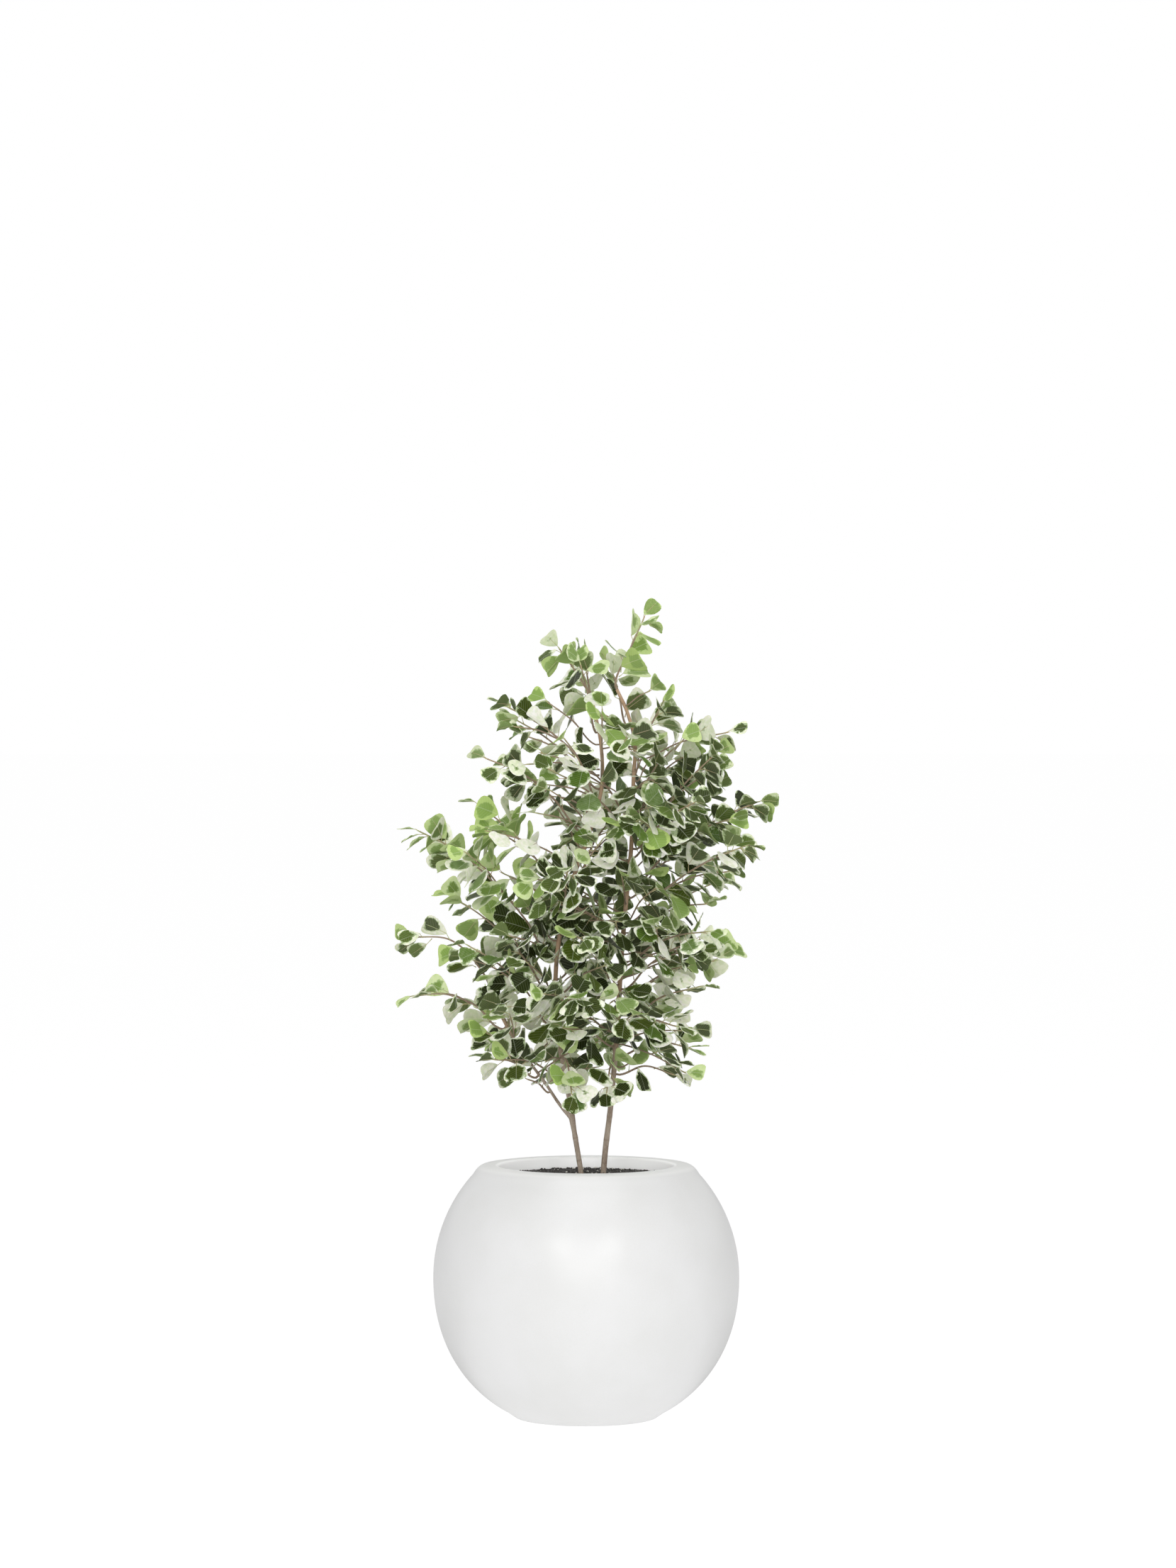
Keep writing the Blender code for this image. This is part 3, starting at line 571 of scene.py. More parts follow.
def stem_bark():
    """Grey-brown bark, streaked along the stem, with pale pores and darker rings at the old leaf scars.
    Higher up it is warmer, and painted lighter against the crown's shade.
    """
    finish = Finish("Fig bark")
    place = finish.object_place()
    drawn_out = finish.vector("MULTIPLY", place, BARK_DRAWN_OUT)
    mask, grain = finish.mottled(drawn_out, *BARK_MOTTLING)
    colour = finish.blend(mask, BARK_BROWN, BARK_GREY)
    # Painted light: up in the crown the bark turns warmer and is painted lighter against the shade there.
    warm_lightened = finish.times(finish.ramp(finish.split(place)["Z"], *WARM_LIGHTENED_HEIGHTS), WARM_LIGHTENED_SHARE)
    colour = finish.blend(warm_lightened, colour, BARK_WARM_LIGHTENED)
    pores = finish.add("ShaderNodeTexVoronoi", {"Vector": drawn_out, "Scale": PORE_SCALE})
    pore = finish.rest(finish.ramp(pores.outputs["Distance"], *PORE_EDGE))
    colour = finish.blend(finish.times(pore, PORE_SHARE), colour, PORE_PALE)
    travelled = finish.split(finish.attribute("place")["Vector"])["X"]
    scar = finish.rest(finish.ramp(finish.math("PINGPONG", travelled, SCAR_STEP / 2), *SCAR_EDGE))
    finish.wears("Base Color", finish.blend(finish.times(scar, SCAR_SHARE), colour, BARK_BROWN))
    finish.wears("Roughness", finish.spread(mask, *BARK_ROUGHNESS))
    finish.bump(finish.plus(grain, pore), *BARK_RELIEF)
    return finish.material


bark = stem_bark()
left_draft, right_draft = Draft(), Draft()
add_stem(left_draft, LEFT_STEM, LEFT_RADII, swell_at=[Vector(LEFT_STEM[FORK_FROM])])
add_stem(left_draft, [LEFT_STEM[FORK_FROM], *FORK], FORK_RADII, collar=True)
add_stem(right_draft, RIGHT_STEM, RIGHT_RADII)
for draft, name, node in ((left_draft, "left_stem", "stem_left"), (right_draft, "right_stem", "stem_right")):
    stem_piece = draft.piece(name, [bark])
    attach(stem_piece, "root")
    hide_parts(node)


# Where the shoots grow
# Twigs leave the stems at their own heights, arch out, and carry a side twig when they are long
# enough. No twig touches another: one that would is turned a little about its stem.

SEED = 37
GAP = 0.0003
OUTLINE_SHOOTS = (
    ("fork", 0.640, (-0.314, -0.030, 0.703), 0.32), ("fork", 0.560, (-0.186, -0.080, 0.602), 0.20),
    ("fork", 0.532, (-0.120, 0.075, 0.560), 0.20), ("fork", 0.600, (-0.175, 0.130, 0.700), 0.15),
    ("fork", None, (-0.314, 0.035, 0.803), 0.45), ("left", 0.640, (-0.214, -0.110, 0.800), 0.20),
    ("left", 0.750, (-0.296, -0.060, 0.985), 0.26), ("left", 0.690, (-0.243, 0.080, 0.870), 0.20),
    ("left", 0.850, (-0.200, 0.070, 1.024), 0.15), ("left", 0.950, (-0.188, -0.070, 1.100), 0.25),
    ("left", 1.050, (-0.162, 0.030, 1.184), 0.15), ("left", 1.120, (-0.010, 0.060, 1.276), 0.05),
    ("left", None, (-0.062, -0.020, 1.286), 0.05), ("left", 0.590, (-0.018, -0.105, 0.520), 0.55),
    ("right", None, (0.106, 0.010, 1.338), 0.02), ("right", 1.130, (0.028, 0.055, 1.262), 0.10),
    ("right", 1.080, (0.140, -0.055, 1.200), 0.15), ("right", 0.990, (0.188, 0.080, 1.144), 0.15),
    ("right", 0.930, (0.234, -0.060, 1.114), 0.12), ("right", 0.870, (0.308, 0.030, 1.024), 0.15),
    ("right", 0.810, (0.286, -0.080, 0.956), 0.15), ("right", 0.770, (0.240, 0.100, 0.890), 0.15),
    ("right", 0.700, (0.206, -0.110, 0.803), 0.15), ("right", 0.680, (0.243, 0.050, 0.758), 0.20),
    ("right", 0.640, (0.214, -0.040, 0.722), 0.20), ("right", 0.620, (0.170, -0.100, 0.652), 0.30),
    ("right", 0.590, (0.202, 0.070, 0.604), 0.30), ("right", 0.560, (0.174, -0.020, 0.563), 0.30),
    ("right", 0.580, (0.028, -0.080, 0.520), 0.50),
)
FILL_SHOOTS = 23
FILL_TIPS = (0.585, 1.200)
FILL_FEET = (0.550, 1.060)
FILL_SWING = 62
FILL_SHARES = (1.0, 0.55, 0.85, 0.40)
FILL_ARCH = 0.15
CROSSING_SHARE = 0.6
CROWN_MIDDLE = Vector((0.010, 0.0, 0.880))
CROWN_REACH = 0.255
CROWN_HALF_HEIGHT = 0.480
TWIG_RADIUS = 0.0019
TWIG_TIP_RADIUS = 0.0016
TWIG_CLEARANCE = 0.001
TWIG_POINT_STEP = 0.062
TWIG_BEND_SHARE = 0.45
SOCKET_LENGTH = 0.006
TIP_LEAF_REACH = 0.036
SIDE_TWIG_FROM = 0.160
SIDE_TWIG_START = (0.36, 0.48)
SIDE_TWIG_SHARE = 0.42
SIDE_TWIG_ANGLE = (38, 54)
SIDE_TWIG_LEVEL = 0.4
SIDE_TWIG_RISE = (-0.05, 0.25)
SIDE_TWIG_ARCH = 0.12
SIDE_TWIG_CLEAR_FROM = 0.2
TURN_STEP = 4
MOST_TURNS = 20
GOLDEN_SHARE = (math.sqrt(5) - 1) / 2


class Stem:
    """A woody stem's axis, from which shoots grow."""

    def __init__(self, route, radii):
        self.route = [Vector(point) for point in route]
        self.radii = radii

    def radius(self, share):
        return self.radii[0] + (self.radii[1] - self.radii[0]) * share

    def at(self, height):
        """The axis point, its direction and the stem's radius at a height, or at the top for None."""
        last = len(self.route) - 1
        if height is not None:
            for index in range(last):
                low, high = self.route[index], self.route[index + 1]
                if low.z <= height <= high.z:
                    share = (height - low.z) / (high.z - low.z)
                    spot = low.lerp(high, share)
                    return spot, (high - low).normalized(), self.radius((index + share) / last)
        end, before = self.route[-1], self.route[-2]
        return end, (end - before).normalized(), self.radius(1)


STEMS = {
    "left": Stem(LEFT_STEM, LEFT_RADII),
    "fork": Stem(FORK, FORK_RADII),
    "right": Stem(RIGHT_STEM, RIGHT_RADII),
}


def fill_shoots():
    """Shoots towards the front and the back by turns, from the lowest to the highest."""
    made = []
    for index in range(FILL_SHOOTS):
        share = (index + 0.5) / FILL_SHOOTS
        tip_height = FILL_TIPS[0] + (FILL_TIPS[1] - FILL_TIPS[0]) * share
        foot = FILL_FEET[0] + (FILL_FEET[1] - FILL_FEET[0]) * share
        swing = math.radians(FILL_SWING * (2 * (index * GOLDEN_SHARE % 1) - 1))
        azimuth = swing + math.radians(-90 if index % 2 == 0 else 90)
        rise = (tip_height - CROWN_MIDDLE.z) / CROWN_HALF_HEIGHT
        fullness = FILL_SHARES[index // 2 % len(FILL_SHARES)]
        reach = CROWN_REACH * math.sqrt(1 - rise * rise) * fullness
        tip = CROWN_MIDDLE + Vector((math.cos(azimuth), math.sin(azimuth), 0)) * reach
        tip.z = tip_height
        near, far = ("left", "right") if tip.x < CROWN_MIDDLE.x else ("right", "left")
        stem = near if fullness > CROSSING_SHARE else far
        made.append((stem, foot, tuple(tip), FILL_ARCH))
    return made


def bezier(start, bend, end, share):
    return start.lerp(bend, share).lerp(bend.lerp(end, share), share)


def shoot_route(stem, height, tip, arch, turn):
    """The twig's points, from the face of the stem to just short of its leafy tip."""
    spot, along, radius = STEMS[stem].at(height)
    reach = Quaternion(UP, math.radians(turn)) @ (Vector(tip) - spot)
    if height is None:
        out = along
        foot = spot + along * GAP
    else:
        level = Vector((reach.x, reach.y, 0))
        out = (level - along * level.dot(along)).normalized()
        foot = spot + out * (radius + GAP)
    end = spot + reach * (1 - TIP_LEAF_REACH / reach.length)
    start = foot + out * SOCKET_LENGTH
    flat = Vector((end.x - start.x, end.y - start.y, 0))
    bend = start + flat * TWIG_BEND_SHARE + UP * ((end.z - start.z) / 2 + arch * flat.length)
    count = max(2, round((end - start).length / TWIG_POINT_STEP))
    return [foot, *(bezier(start, bend, end, i / count) for i in range(count + 1))]


def along_route(route, distance):
    """The place and the direction at a distance from the route's start."""
    for low, high in zip(route, route[1:]):
        length = (high - low).length
        if distance <= length:
            return low.lerp(high, distance / length), (high - low).normalized()
        distance -= length
    return route[-1], (route[-1] - route[-2]).normalized()


def route_length(route):
    return sum((high - low).length for low, high in zip(route, route[1:]))


def side_route(route, side, draw):
    """A side twig that leaves the shoot at an angle and lies about level."""
    whole = route_length(route)
    start, along = along_route(route, whole * draw.uniform(*SIDE_TWIG_START))
    out = Quaternion(UP, math.radians(side * draw.uniform(*SIDE_TWIG_ANGLE))) @ along
    out.z = out.z * SIDE_TWIG_LEVEL + draw.uniform(*SIDE_TWIG_RISE)
    length = whole * SIDE_TWIG_SHARE
    end = start + out.normalized() * length
    bend = (start + end) / 2 + UP * (length * SIDE_TWIG_ARCH)
    return [start, bezier(start, bend, end, 0.5), end]


def route_tree(route, radius):
    """A four-sided sleeve round the route, to test what comes too near it."""
    vertices, faces = [], []
    for low, high in zip(route, route[1:]):
        first = len(vertices)
        along = (high - low).normalized()
        across = along.orthogonal().normalized() * radius
        corners = (across, along.cross(across), -across, -along.cross(across))
        vertices += [end + corner for end in (low, high) for corner in corners]
        faces += [(first + i, first + (i + 1) % 4, first + 4 + (i + 1) % 4, first + 4 + i) for i in range(4)]
    return BVHTree.FromPolygons(vertices, faces)


def clear(tree, others):
    return not any(tree.overlap(other) for other in others)


def grow_shoot(stem, height, tip, arch, others):
    """The first route, turned a little further from its tip each time, whose twig clears the others."""
    own_stem = STEMS[stem]
    if height is not None:
        others = [*others, route_tree(own_stem.route, own_stem.radii[1])]
    for attempt in range(MOST_TURNS):
        turn = (attempt + 1) // 2 * TURN_STEP * (-1) ** attempt
        route = shoot_route(stem, height, tip, arch, turn)
        sleeve = route_tree(route[1:], TWIG_RADIUS + TWIG_CLEARANCE)
        if clear(sleeve, others):
            break
    return route, sleeve


def grow_side_twig(route, side, others, draw):
    """A side twig to one side or the other, with its sleeve, or None where there is no room for one."""
    for attempt in range(MOST_TURNS):
        side_twig = side_route(route, side * (-1) ** attempt, draw)
        past_shoot = [side_twig[0].lerp(side_twig[1], SIDE_TWIG_CLEAR_FROM), *side_twig[1:]]
        sleeve = route_tree(past_shoot, TWIG_RADIUS + TWIG_CLEARANCE)
        if clear(sleeve, others):
            return side_twig, sleeve
    return None


def place_twigs():
    """The routes of each shoot, its own twig first, and the sleeves of all twigs."""
    draw = random.Random(SEED)
    stems = {name: route_tree(stem.route, stem.radii[0] + TWIG_CLEARANCE) for name, stem in STEMS.items()}
    shoots, sleeves = [], []
    for index, (stem, height, tip, arch) in enumerate([*OUTLINE_SHOOTS, *fill_shoots()]):
        other_stems = [tree for name, tree in stems.items() if name != stem]
        route, sleeve = grow_shoot(stem, height, tip, arch, [*sleeves, *other_stems])
        routes = [route]
        if route_length(route) > SIDE_TWIG_FROM:
            grown = grow_side_twig(route, -1 if index % 2 else 1, [*sleeves, *stems.values()], draw)
            if grown:
                routes.append(grown[0])
                sleeves.append(grown[1])
        sleeves.append(sleeve)
        shoots.append(routes)
    return shoots, sleeves


shoots, sleeves = place_twigs()


# Where the leaves grow
# Leaves spiral round each twig on thin stalks, smaller towards its tip, and hang with their upper
# sides up and outwards. Two or three times as many grow here as the plain model holds.

LEAF_LENGTH, LEAF_WIDTH = 0.040, 0.043
LOW_CORNER, FAR_CORNER = (0.50, 0.76), (0.29, 1.00)
STALK_WIDTH = 0.0011
STALK_LENGTH = (0.008, 0.015)
LEAF_STEP = 0.031
BARE_TWIG, BARE_SIDE_TWIG = 0.020, 0.018
YOUNG_LEAF = 0.72
YOUNG_LEAVES = 2
LOWEST_LEAF = 0.500
LEAF_TURN, LEAF_TURN_SPREAD = 145, 30
STALK_SPREAD, TIP_STALK_SPREAD = (42, 68), (8, 24)
STALK_RISE = 0.15
BLADE_ALONG_STALK = 0.60
BLADE_OUTWARD = 0.30
BLADE_HANG, TIP_BLADE_HANG = (-0.85, 0.10), (-0.35, 0.10)
BLADE_LOOSE = 0.25
SHARPEST_BEND, BEND_EASED = 0.15, 0.5
FACE_SWING = 75
FACE_OUTWARD, FACE_UP = (0.5, 1.1), (0.3, 0.9)
LENGTH_SPREAD, WIDTH_SPREAD = (0.90, 1.10), (0.92, 1.08)
FOLD, DROOP = (0.08, 0.34), (0.02, 0.20)
LEAF_CLEARANCE = 0.0017
LEAF_MARGIN = 1.04
LEAF_TRIES = 10
NEIGHBOUR_REACH = 0.075
SHEET_FACES = ((0, 1, 2), (0, 2, 7), (2, 3, 4), (2, 4, 5), (2, 5, 7), (7, 5, 6))
BLADE_FACES = SHEET_FACES[2:]


class Leaf:
    """One leaf: its stalk from root to neck, and its blade's directions, size and bends."""

    def __init__(self, draw, root, along, turn, size, at_tip):
        outward = Vector((root.x - CROWN_MIDDLE.x, root.y - CROWN_MIDDLE.y, 0)).normalized()
        level = UP.cross(along).normalized()
        turned_by = math.radians(turn + draw.uniform(-LEAF_TURN_SPREAD, LEAF_TURN_SPREAD))
        aside = Quaternion(along, turned_by) @ level
        spread = math.radians(draw.uniform(*(TIP_STALK_SPREAD if at_tip else STALK_SPREAD)))
        stalk = along * math.cos(spread) + aside * math.sin(spread) + UP * STALK_RISE
        stalk.normalize()
        hang = draw.uniform(*(TIP_BLADE_HANG if at_tip else BLADE_HANG))
        self.root, self.stalk, self.size = root, stalk, size
        self.blade = self.blade_direction(draw, stalk, outward, hang)
        self.face = self.face_direction(draw, outward)
        self.neck = root + stalk * (draw.uniform(*STALK_LENGTH) * size)
        self.length = LEAF_LENGTH * size * draw.uniform(*LENGTH_SPREAD)
        self.width = LEAF_WIDTH * size * draw.uniform(*WIDTH_SPREAD)
        self.fold, self.droop = draw.uniform(*FOLD), draw.uniform(*DROOP)
        self.across = self.blade.cross(self.face).normalized()

    def blade_direction(self, draw, stalk, outward, hang):
        """On from the stalk, outward from the crown, and hanging."""
        loose = Vector((draw.uniform(-1, 1), draw.uniform(-1, 1), 0)) * BLADE_LOOSE
        blade = stalk * BLADE_ALONG_STALK + outward * BLADE_OUTWARD + UP * hang + loose
        if blade.normalized().dot(stalk) < SHARPEST_BEND:
            blade += stalk * BEND_EASED
        return blade.normalized()

    def face_direction(self, draw, outward):
        """Square to the blade, mostly up and out of the crown."""
        swung = Quaternion(UP, math.radians(draw.uniform(-FACE_SWING, FACE_SWING))) @ outward
        facing = swung * draw.uniform(*FACE_OUTWARD) + UP * draw.uniform(*FACE_UP)
        return (facing - self.blade * facing.dot(self.blade)).normalized()

    def sheet(self):
        """The plain outline of stalk and blade, which keeps its room among the others."""
        half = self.across * (STALK_WIDTH / 2)

        def corner(u, v):
            lift = self.fold * abs(u) * self.width - self.droop * v * v * self.length
            return (self.neck + self.blade * (v * self.length) + self.across * (u * self.width)
                    + self.face * lift)

        (low_u, low_v), (far_u, far_v) = LOW_CORNER, FAR_CORNER
        right = [corner(low_u, low_v), corner(far_u, far_v)]
        left = [corner(-far_u, far_v), corner(-low_u, low_v)]
        root = self.root
        return [root - half, root + half, self.neck + half, *right, *left, self.neck - half]


def leaf_tree(points, faces, face):
    """The leaf with its clearance on both sides, a little larger than it is, to test for crossings."""
    middle = sum(points[2:], Vector()) / len(points[2:])
    grown = [middle + (point - middle) * LEAF_MARGIN for point in points]
    vertices = [point + face * side * LEAF_CLEARANCE for side in (1, -1) for point in grown]
    both = [tuple(corner + step for corner in triangle) for step in (0, len(points)) for triangle in faces]
    return BVHTree.FromPolygons(vertices, both)


def leaf_places(route, bare, start_turn, step=LEAF_STEP, skip=0.0, grown=1.0):
    """Where leaves grow along a twig, from its tip down: place, direction, turn round the twig and size."""
    whole = route_length(route)
    count = max(1, int((whole - bare - skip) / step) + 1)
    for index in range(count):
        from_tip = skip + index * step
        place, along = along_route(route, whole - TWIG_TIP_RADIUS - from_tip)
        size = YOUNG_LEAF + (1 - YOUNG_LEAF) * min(1, from_tip / LEAF_STEP / YOUNG_LEAVES)
        yield place, along, start_turn + index * LEAF_TURN, size * grown, from_tip == 0


def grow_leaf(draw, place, own_twigs, others, placed, tries=LEAF_TRIES, thin_spots=()):
    """A leaf that crosses nothing and keeps out of the thin spots, or None when every try fails."""
    for _ in range(tries):
        leaf = Leaf(draw, *place)
        points = leaf.sheet()
        middle = sum(points, Vector()) / len(points)
        near = [tree for spot, tree in placed if (spot - middle).length < NEIGHBOUR_REACH]
        whole = leaf_tree(points, SHEET_FACES, leaf.face)
        if any(math.hypot(middle.x - x, middle.z - z) < reach for x, z, reach in thin_spots):
            continue
        if min(point.z for point in points) < LOWEST_LEAF or not clear(whole, [*near, *others]):
            continue
        if clear(leaf_tree(points, BLADE_FACES, leaf.face), own_twigs):
            placed.append((middle, whole))
            return leaf
    return None


def place_leaves(shoots):
    """The plain model's leaves, by the same draws, each with the twig that it grows from."""
    draw = random.Random(SEED + 1)
    twigs = [[route_tree(route, TWIG_RADIUS) for route in routes] for routes in shoots]
    stems = [route_tree(stem.route, stem.radii[0]) for stem in STEMS.values()]
    placed, leaves = [], []
    for index, routes in enumerate(shoots):
        others = stems + [tree for number, trees in enumerate(twigs) if number != index for tree in trees]
        grown = []
        for route, bare in zip(routes, (BARE_TWIG, BARE_SIDE_TWIG)):
            for place in leaf_places(route, bare, draw.uniform(0, 360)):
                grown.append((grow_leaf(draw, place, twigs[index], others, placed), route))
        leaves.append([(leaf, route) for leaf, route in grown if leaf])
    return leaves, placed, twigs, stems


leaves, placed, twig_trees, stem_trees = place_leaves(shoots)


# Leaves in between
# On the plant the leaves grow twice as close as in the plain model, so each gap along a twig gets more,
# wherever a leaf finds room. A few spots stay thin, seen from the front, and light falls through there.

MORE_ROUNDS = ((0.50, 6), (0.25, 3), (0.75, 2))
FULL_GROWN = 1.10
THIN_SPOTS = (
    (-0.006, 1.084, 0.048), (-0.088, 1.105, 0.042), (-0.015, 1.020, 0.030), (0.060, 1.188, 0.030),
    (0.130, 1.240, 0.045), (-0.088, 0.548, 0.030), (-0.290, 0.702, 0.032), (-0.225, 0.700, 0.036),
    (0.047, 1.031, 0.022), (-0.054, 0.974, 0.034), (-0.117, 0.930, 0.026), (0.097, 0.727, 0.020),
    (0.129, 0.639, 0.020), (-0.099, 0.696, 0.022), (-0.181, 0.702, 0.030), (-0.222, 0.780, 0.062),
    (-0.165, 1.085, 0.050), (-0.165, 0.540, 0.060), (0.110, 0.540, 0.050), (0.196, 0.832, 0.042),
    (0.196, 0.690, 0.048), (-0.270, 0.880, 0.036), (-0.180, 0.980, 0.020), (-0.020, 1.045, 0.046),
    (0.065, 1.165, 0.036), (-0.225, 0.745, 0.045),
)


def place_more(shoots, leaves, placed, twig_trees, stem_trees):
    """Leaves between the first ones, each with the twig that it grows from."""
    draw = random.Random(SEED + 2)
    for skip, tries in MORE_ROUNDS:
        for index, routes in enumerate(shoots):
            others = [tree for number, trees in enumerate(twig_trees) if number != index for tree in trees]
            for route, bare in zip(routes, (BARE_TWIG, BARE_SIDE_TWIG)):
                turn = draw.uniform(0, 360)
                for place in leaf_places(route, bare, turn, skip=skip * LEAF_STEP, grown=FULL_GROWN):
                    leaf = grow_leaf(draw, place, twig_trees[index], stem_trees + others, placed, tries,
                                     THIN_SPOTS)
                    if leaf:
                        leaves[index].append((leaf, route))


place_more(shoots, leaves, placed, twig_trees, stem_trees)


# Spurs on the stems
# Between the shoots the stems carry thinner leafy spurs, which fill the crown and hide the stems. Some
# are placed where the crown is full, and the rest go two to the front for each one to the back.

PLACED_SPURS = (
    ("left", 1.150, (-0.022, -0.045, 1.262)), ("right", 1.165, (0.006, -0.050, 1.252)),
    ("left", 1.140, (-0.068, -0.010, 1.232)), ("left", 1.165, (-0.040, 0.035, 1.250)),
    ("right", 1.130, (0.022, -0.065, 1.232)), ("left", 0.970, (-0.105, -0.065, 1.045)),
    ("left", 0.930, (-0.075, 0.060, 1.035)), ("left", 0.860, (-0.150, -0.080, 0.905)),
    ("left", 0.830, (-0.165, 0.050, 0.905)), ("left", 0.810, (-0.105, -0.100, 0.885)),
    ("left", 0.780, (-0.130, -0.030, 0.870)), ("left", 0.700, (-0.110, -0.110, 0.765)),
    ("left", 0.660, (-0.075, -0.090, 0.740)), ("fork", 0.560, (-0.165, -0.045, 0.628)),
    ("fork", 0.640, (-0.185, -0.095, 0.775)), ("right", 1.060, (0.112, -0.060, 1.118)),
    ("right", 1.050, (0.100, 0.070, 1.130)), ("right", 1.000, (0.262, 0.040, 1.062)),
    ("right", 1.040, (0.125, 0.040, 1.100)), ("right", 1.030, (0.178, -0.030, 1.128)),
    ("right", 1.010, (0.258, 0.010, 1.085)), ("right", 0.985, (0.120, -0.070, 1.050)),
    ("right", 0.950, (0.235, 0.040, 1.045)), ("right", 0.935, (0.258, -0.040, 0.985)),
    ("right", 0.745, (0.215, 0.010, 0.768)), ("fork", 0.690, (-0.285, 0.015, 0.822)),
    ("left", 0.900, (-0.215, -0.020, 0.975)), ("right", 0.910, (0.262, -0.020, 1.040)),
    ("right", 0.720, (0.262, -0.020, 0.765)), ("right", 0.610, (0.205, -0.050, 0.560)),
    ("right", 0.620, (0.200, 0.020, 0.635)), ("right", 0.690, (0.070, -0.110, 0.700)),
    ("right", 0.650, (0.040, -0.095, 0.665)), ("right", 0.760, (0.045, -0.115, 0.830)),
    ("right", 0.840, (0.055, -0.105, 0.905)), ("right", 1.075, (0.262, 0.020, 1.130)),
    ("right", 0.915, (0.290, 0.015, 1.005)), ("left", 0.930, (-0.292, 0.015, 0.985)),
    ("left", 1.160, (-0.036, -0.020, 1.275)), ("left", 1.100, (-0.095, 0.020, 1.190)),
    ("right", 0.630, (0.218, -0.015, 0.655)),
)
SPUR_HEIGHTS = (("left", 0.590, 1.160), ("right", 0.555, 1.180), ("fork", 0.545, 0.690))
SPUR_STEP = 0.0165
SPUR_REACH = (0.062, 0.130)
SPUR_DEEPER = 0.55
SPUR_RISE = (-0.15, 0.55)
SPUR_FRONT, SPUR_BACK = (-165, -15), (20, 160)
SPUR_ARCH = 0.10
BARE_SPUR = 0.010
SPUR_LEAF_STEP = 0.0185
SPUR_LEAF_TRIES = 8


def ruled_spurs(draw):
    """Spurs up each stem, two to the front for each one to the back."""
    made = []
    for stem, low, high in SPUR_HEIGHTS:
        count = int((high - low) / SPUR_STEP)
        for index in range(count):
            azimuth = math.radians(draw.uniform(*(SPUR_BACK if index % 3 == 2 else SPUR_FRONT)))
            height = low + (high - low) * index / count
            reach = draw.uniform(*SPUR_REACH) * (1 + SPUR_DEEPER * math.sin(azimuth) ** 2)
            rise = draw.uniform(*SPUR_RISE)
            out = Vector((math.cos(azimuth), math.sin(azimuth), rise)).normalized() * reach
            made.append((stem, height, tuple(STEMS[stem].at(height)[0] + out)))
    return made


def grow_spur(stem, height, tip, sleeves, placed):
    """A spur's route and sleeve, turned until it clears twigs and leaves, or None."""
    spot, _, _ = STEMS[stem].at(height)
    reach = (Vector(tip) - spot).length
    others = sleeves + [route_tree(other.route, other.radii[0])
                        for name, other in STEMS.items() if name != stem]
    near = [tree for middle, tree in placed if (middle - spot).length < NEIGHBOUR_REACH + reach]
    for attempt in range(MOST_TURNS):
        turn = (attempt + 1) // 2 * TURN_STEP * (-1) ** attempt
        route = shoot_route(stem, height, tip, SPUR_ARCH, turn)
        sleeve = route_tree(route[1:], TWIG_RADIUS)
        if clear(sleeve, others + near):
            return route, sleeve
    return None


def place_spurs(sleeves, placed, twig_trees, stem_trees):
    """The spurs with their leaves, the placed ones first."""
    draw = random.Random(SEED + 4)
    twigs = [tree for trees in twig_trees for tree in trees]
    spurs = []
    for stem, height, tip in [*PLACED_SPURS, *ruled_spurs(draw)]:
        grown = grow_spur(stem, height, tip, sleeves, placed)
        if not grown:
            continue
        route, sleeve = grown
        own = [route_tree(route, TWIG_RADIUS)]
        before, turn = len(placed), draw.uniform(0, 360)
        tried = [grow_leaf(draw, place, own, stem_trees + twigs, placed, SPUR_LEAF_TRIES, THIN_SPOTS)
                 for place in leaf_places(route, BARE_SPUR, turn, SPUR_LEAF_STEP, grown=FULL_GROWN)]
        if not any(tried[:2]):
            del placed[before:]
            continue
        sleeves.append(sleeve)
        twigs += own
        spurs.append((route, [(leaf, route) for leaf in tried if leaf]))
    return spurs


spurs = place_spurs(sleeves, placed, twig_trees, stem_trees)


# Leafy shoots
# Each shoot is a thin twig with its leaves: leathery blades, wedge-shaped at the stalk and broad and
# rounded at the far end. They are dark green in the middle and cream round it, in no two leaves alike.

BLADE_OUTLINE = (
    (0.022, 0.000), (0.135, 0.095), (0.268, 0.255), (0.378, 0.430), (0.455, 0.595),
    (0.492, 0.745), (0.474, 0.870), (0.385, 0.955), (0.215, 0.992), (0.000, 0.982),
)
BLADE_MIDDLE = (0.0, 0.58)
BLADE_RINGS = (0.36, 0.70, 0.90, 1.0)
BLADE_THICKNESS, THIN_RIM, THIN_RIM_FROM = 0.00055, 0.45, 0.95
FOLD_SOFTNESS, UNEVEN_HALVES = 0.035, 0.07
EDGE_WOBBLE, EDGE_LOBES, EDGE_PHASE = 0.035, ((3, 1.0, 0.6), (5, 2.3, 0.4)), 6.28
EDGE_WAVE, WAVE_SPREAD, WAVES_ROUND = 0.0011, (0.4, 1.2), (3, 4, 5)
CORNER_CURL = 0.0022
MARKINGS_APART = 40
STALK_SIDES, STALK_RADII, STALK_FOOT = 6, (0.00072, 0.00058), 1.35
STALK_SAG, RIB_DEPTH, RIB_TAPER = 0.0004, 0.4, 0.72
RIB_STATIONS = (0.0, 0.16, 0.36, 0.58, 0.82)
TWIG_SIDES, TWIG_RING_STEP = 8, 0.005
TWIG_RADII = (0.0018, 0.0011)
TWIG_UNEVEN_SCALE, TWIG_UNEVEN_SHARE = 90, 0.06
KNOT_HEIGHT, KNOT_WIDTH = 0.00035, 0.0018
BUD_LENGTH, BUD_RADIUS, BUD_SEAT, BUD_GREEN = 0.0085, 0.0010, 0.0006, 0.9
BUD_STATIONS, BUD_SHARES = (0.25, 0.6, 1.0), (1.0, 1.15, 0.6, 0.08)


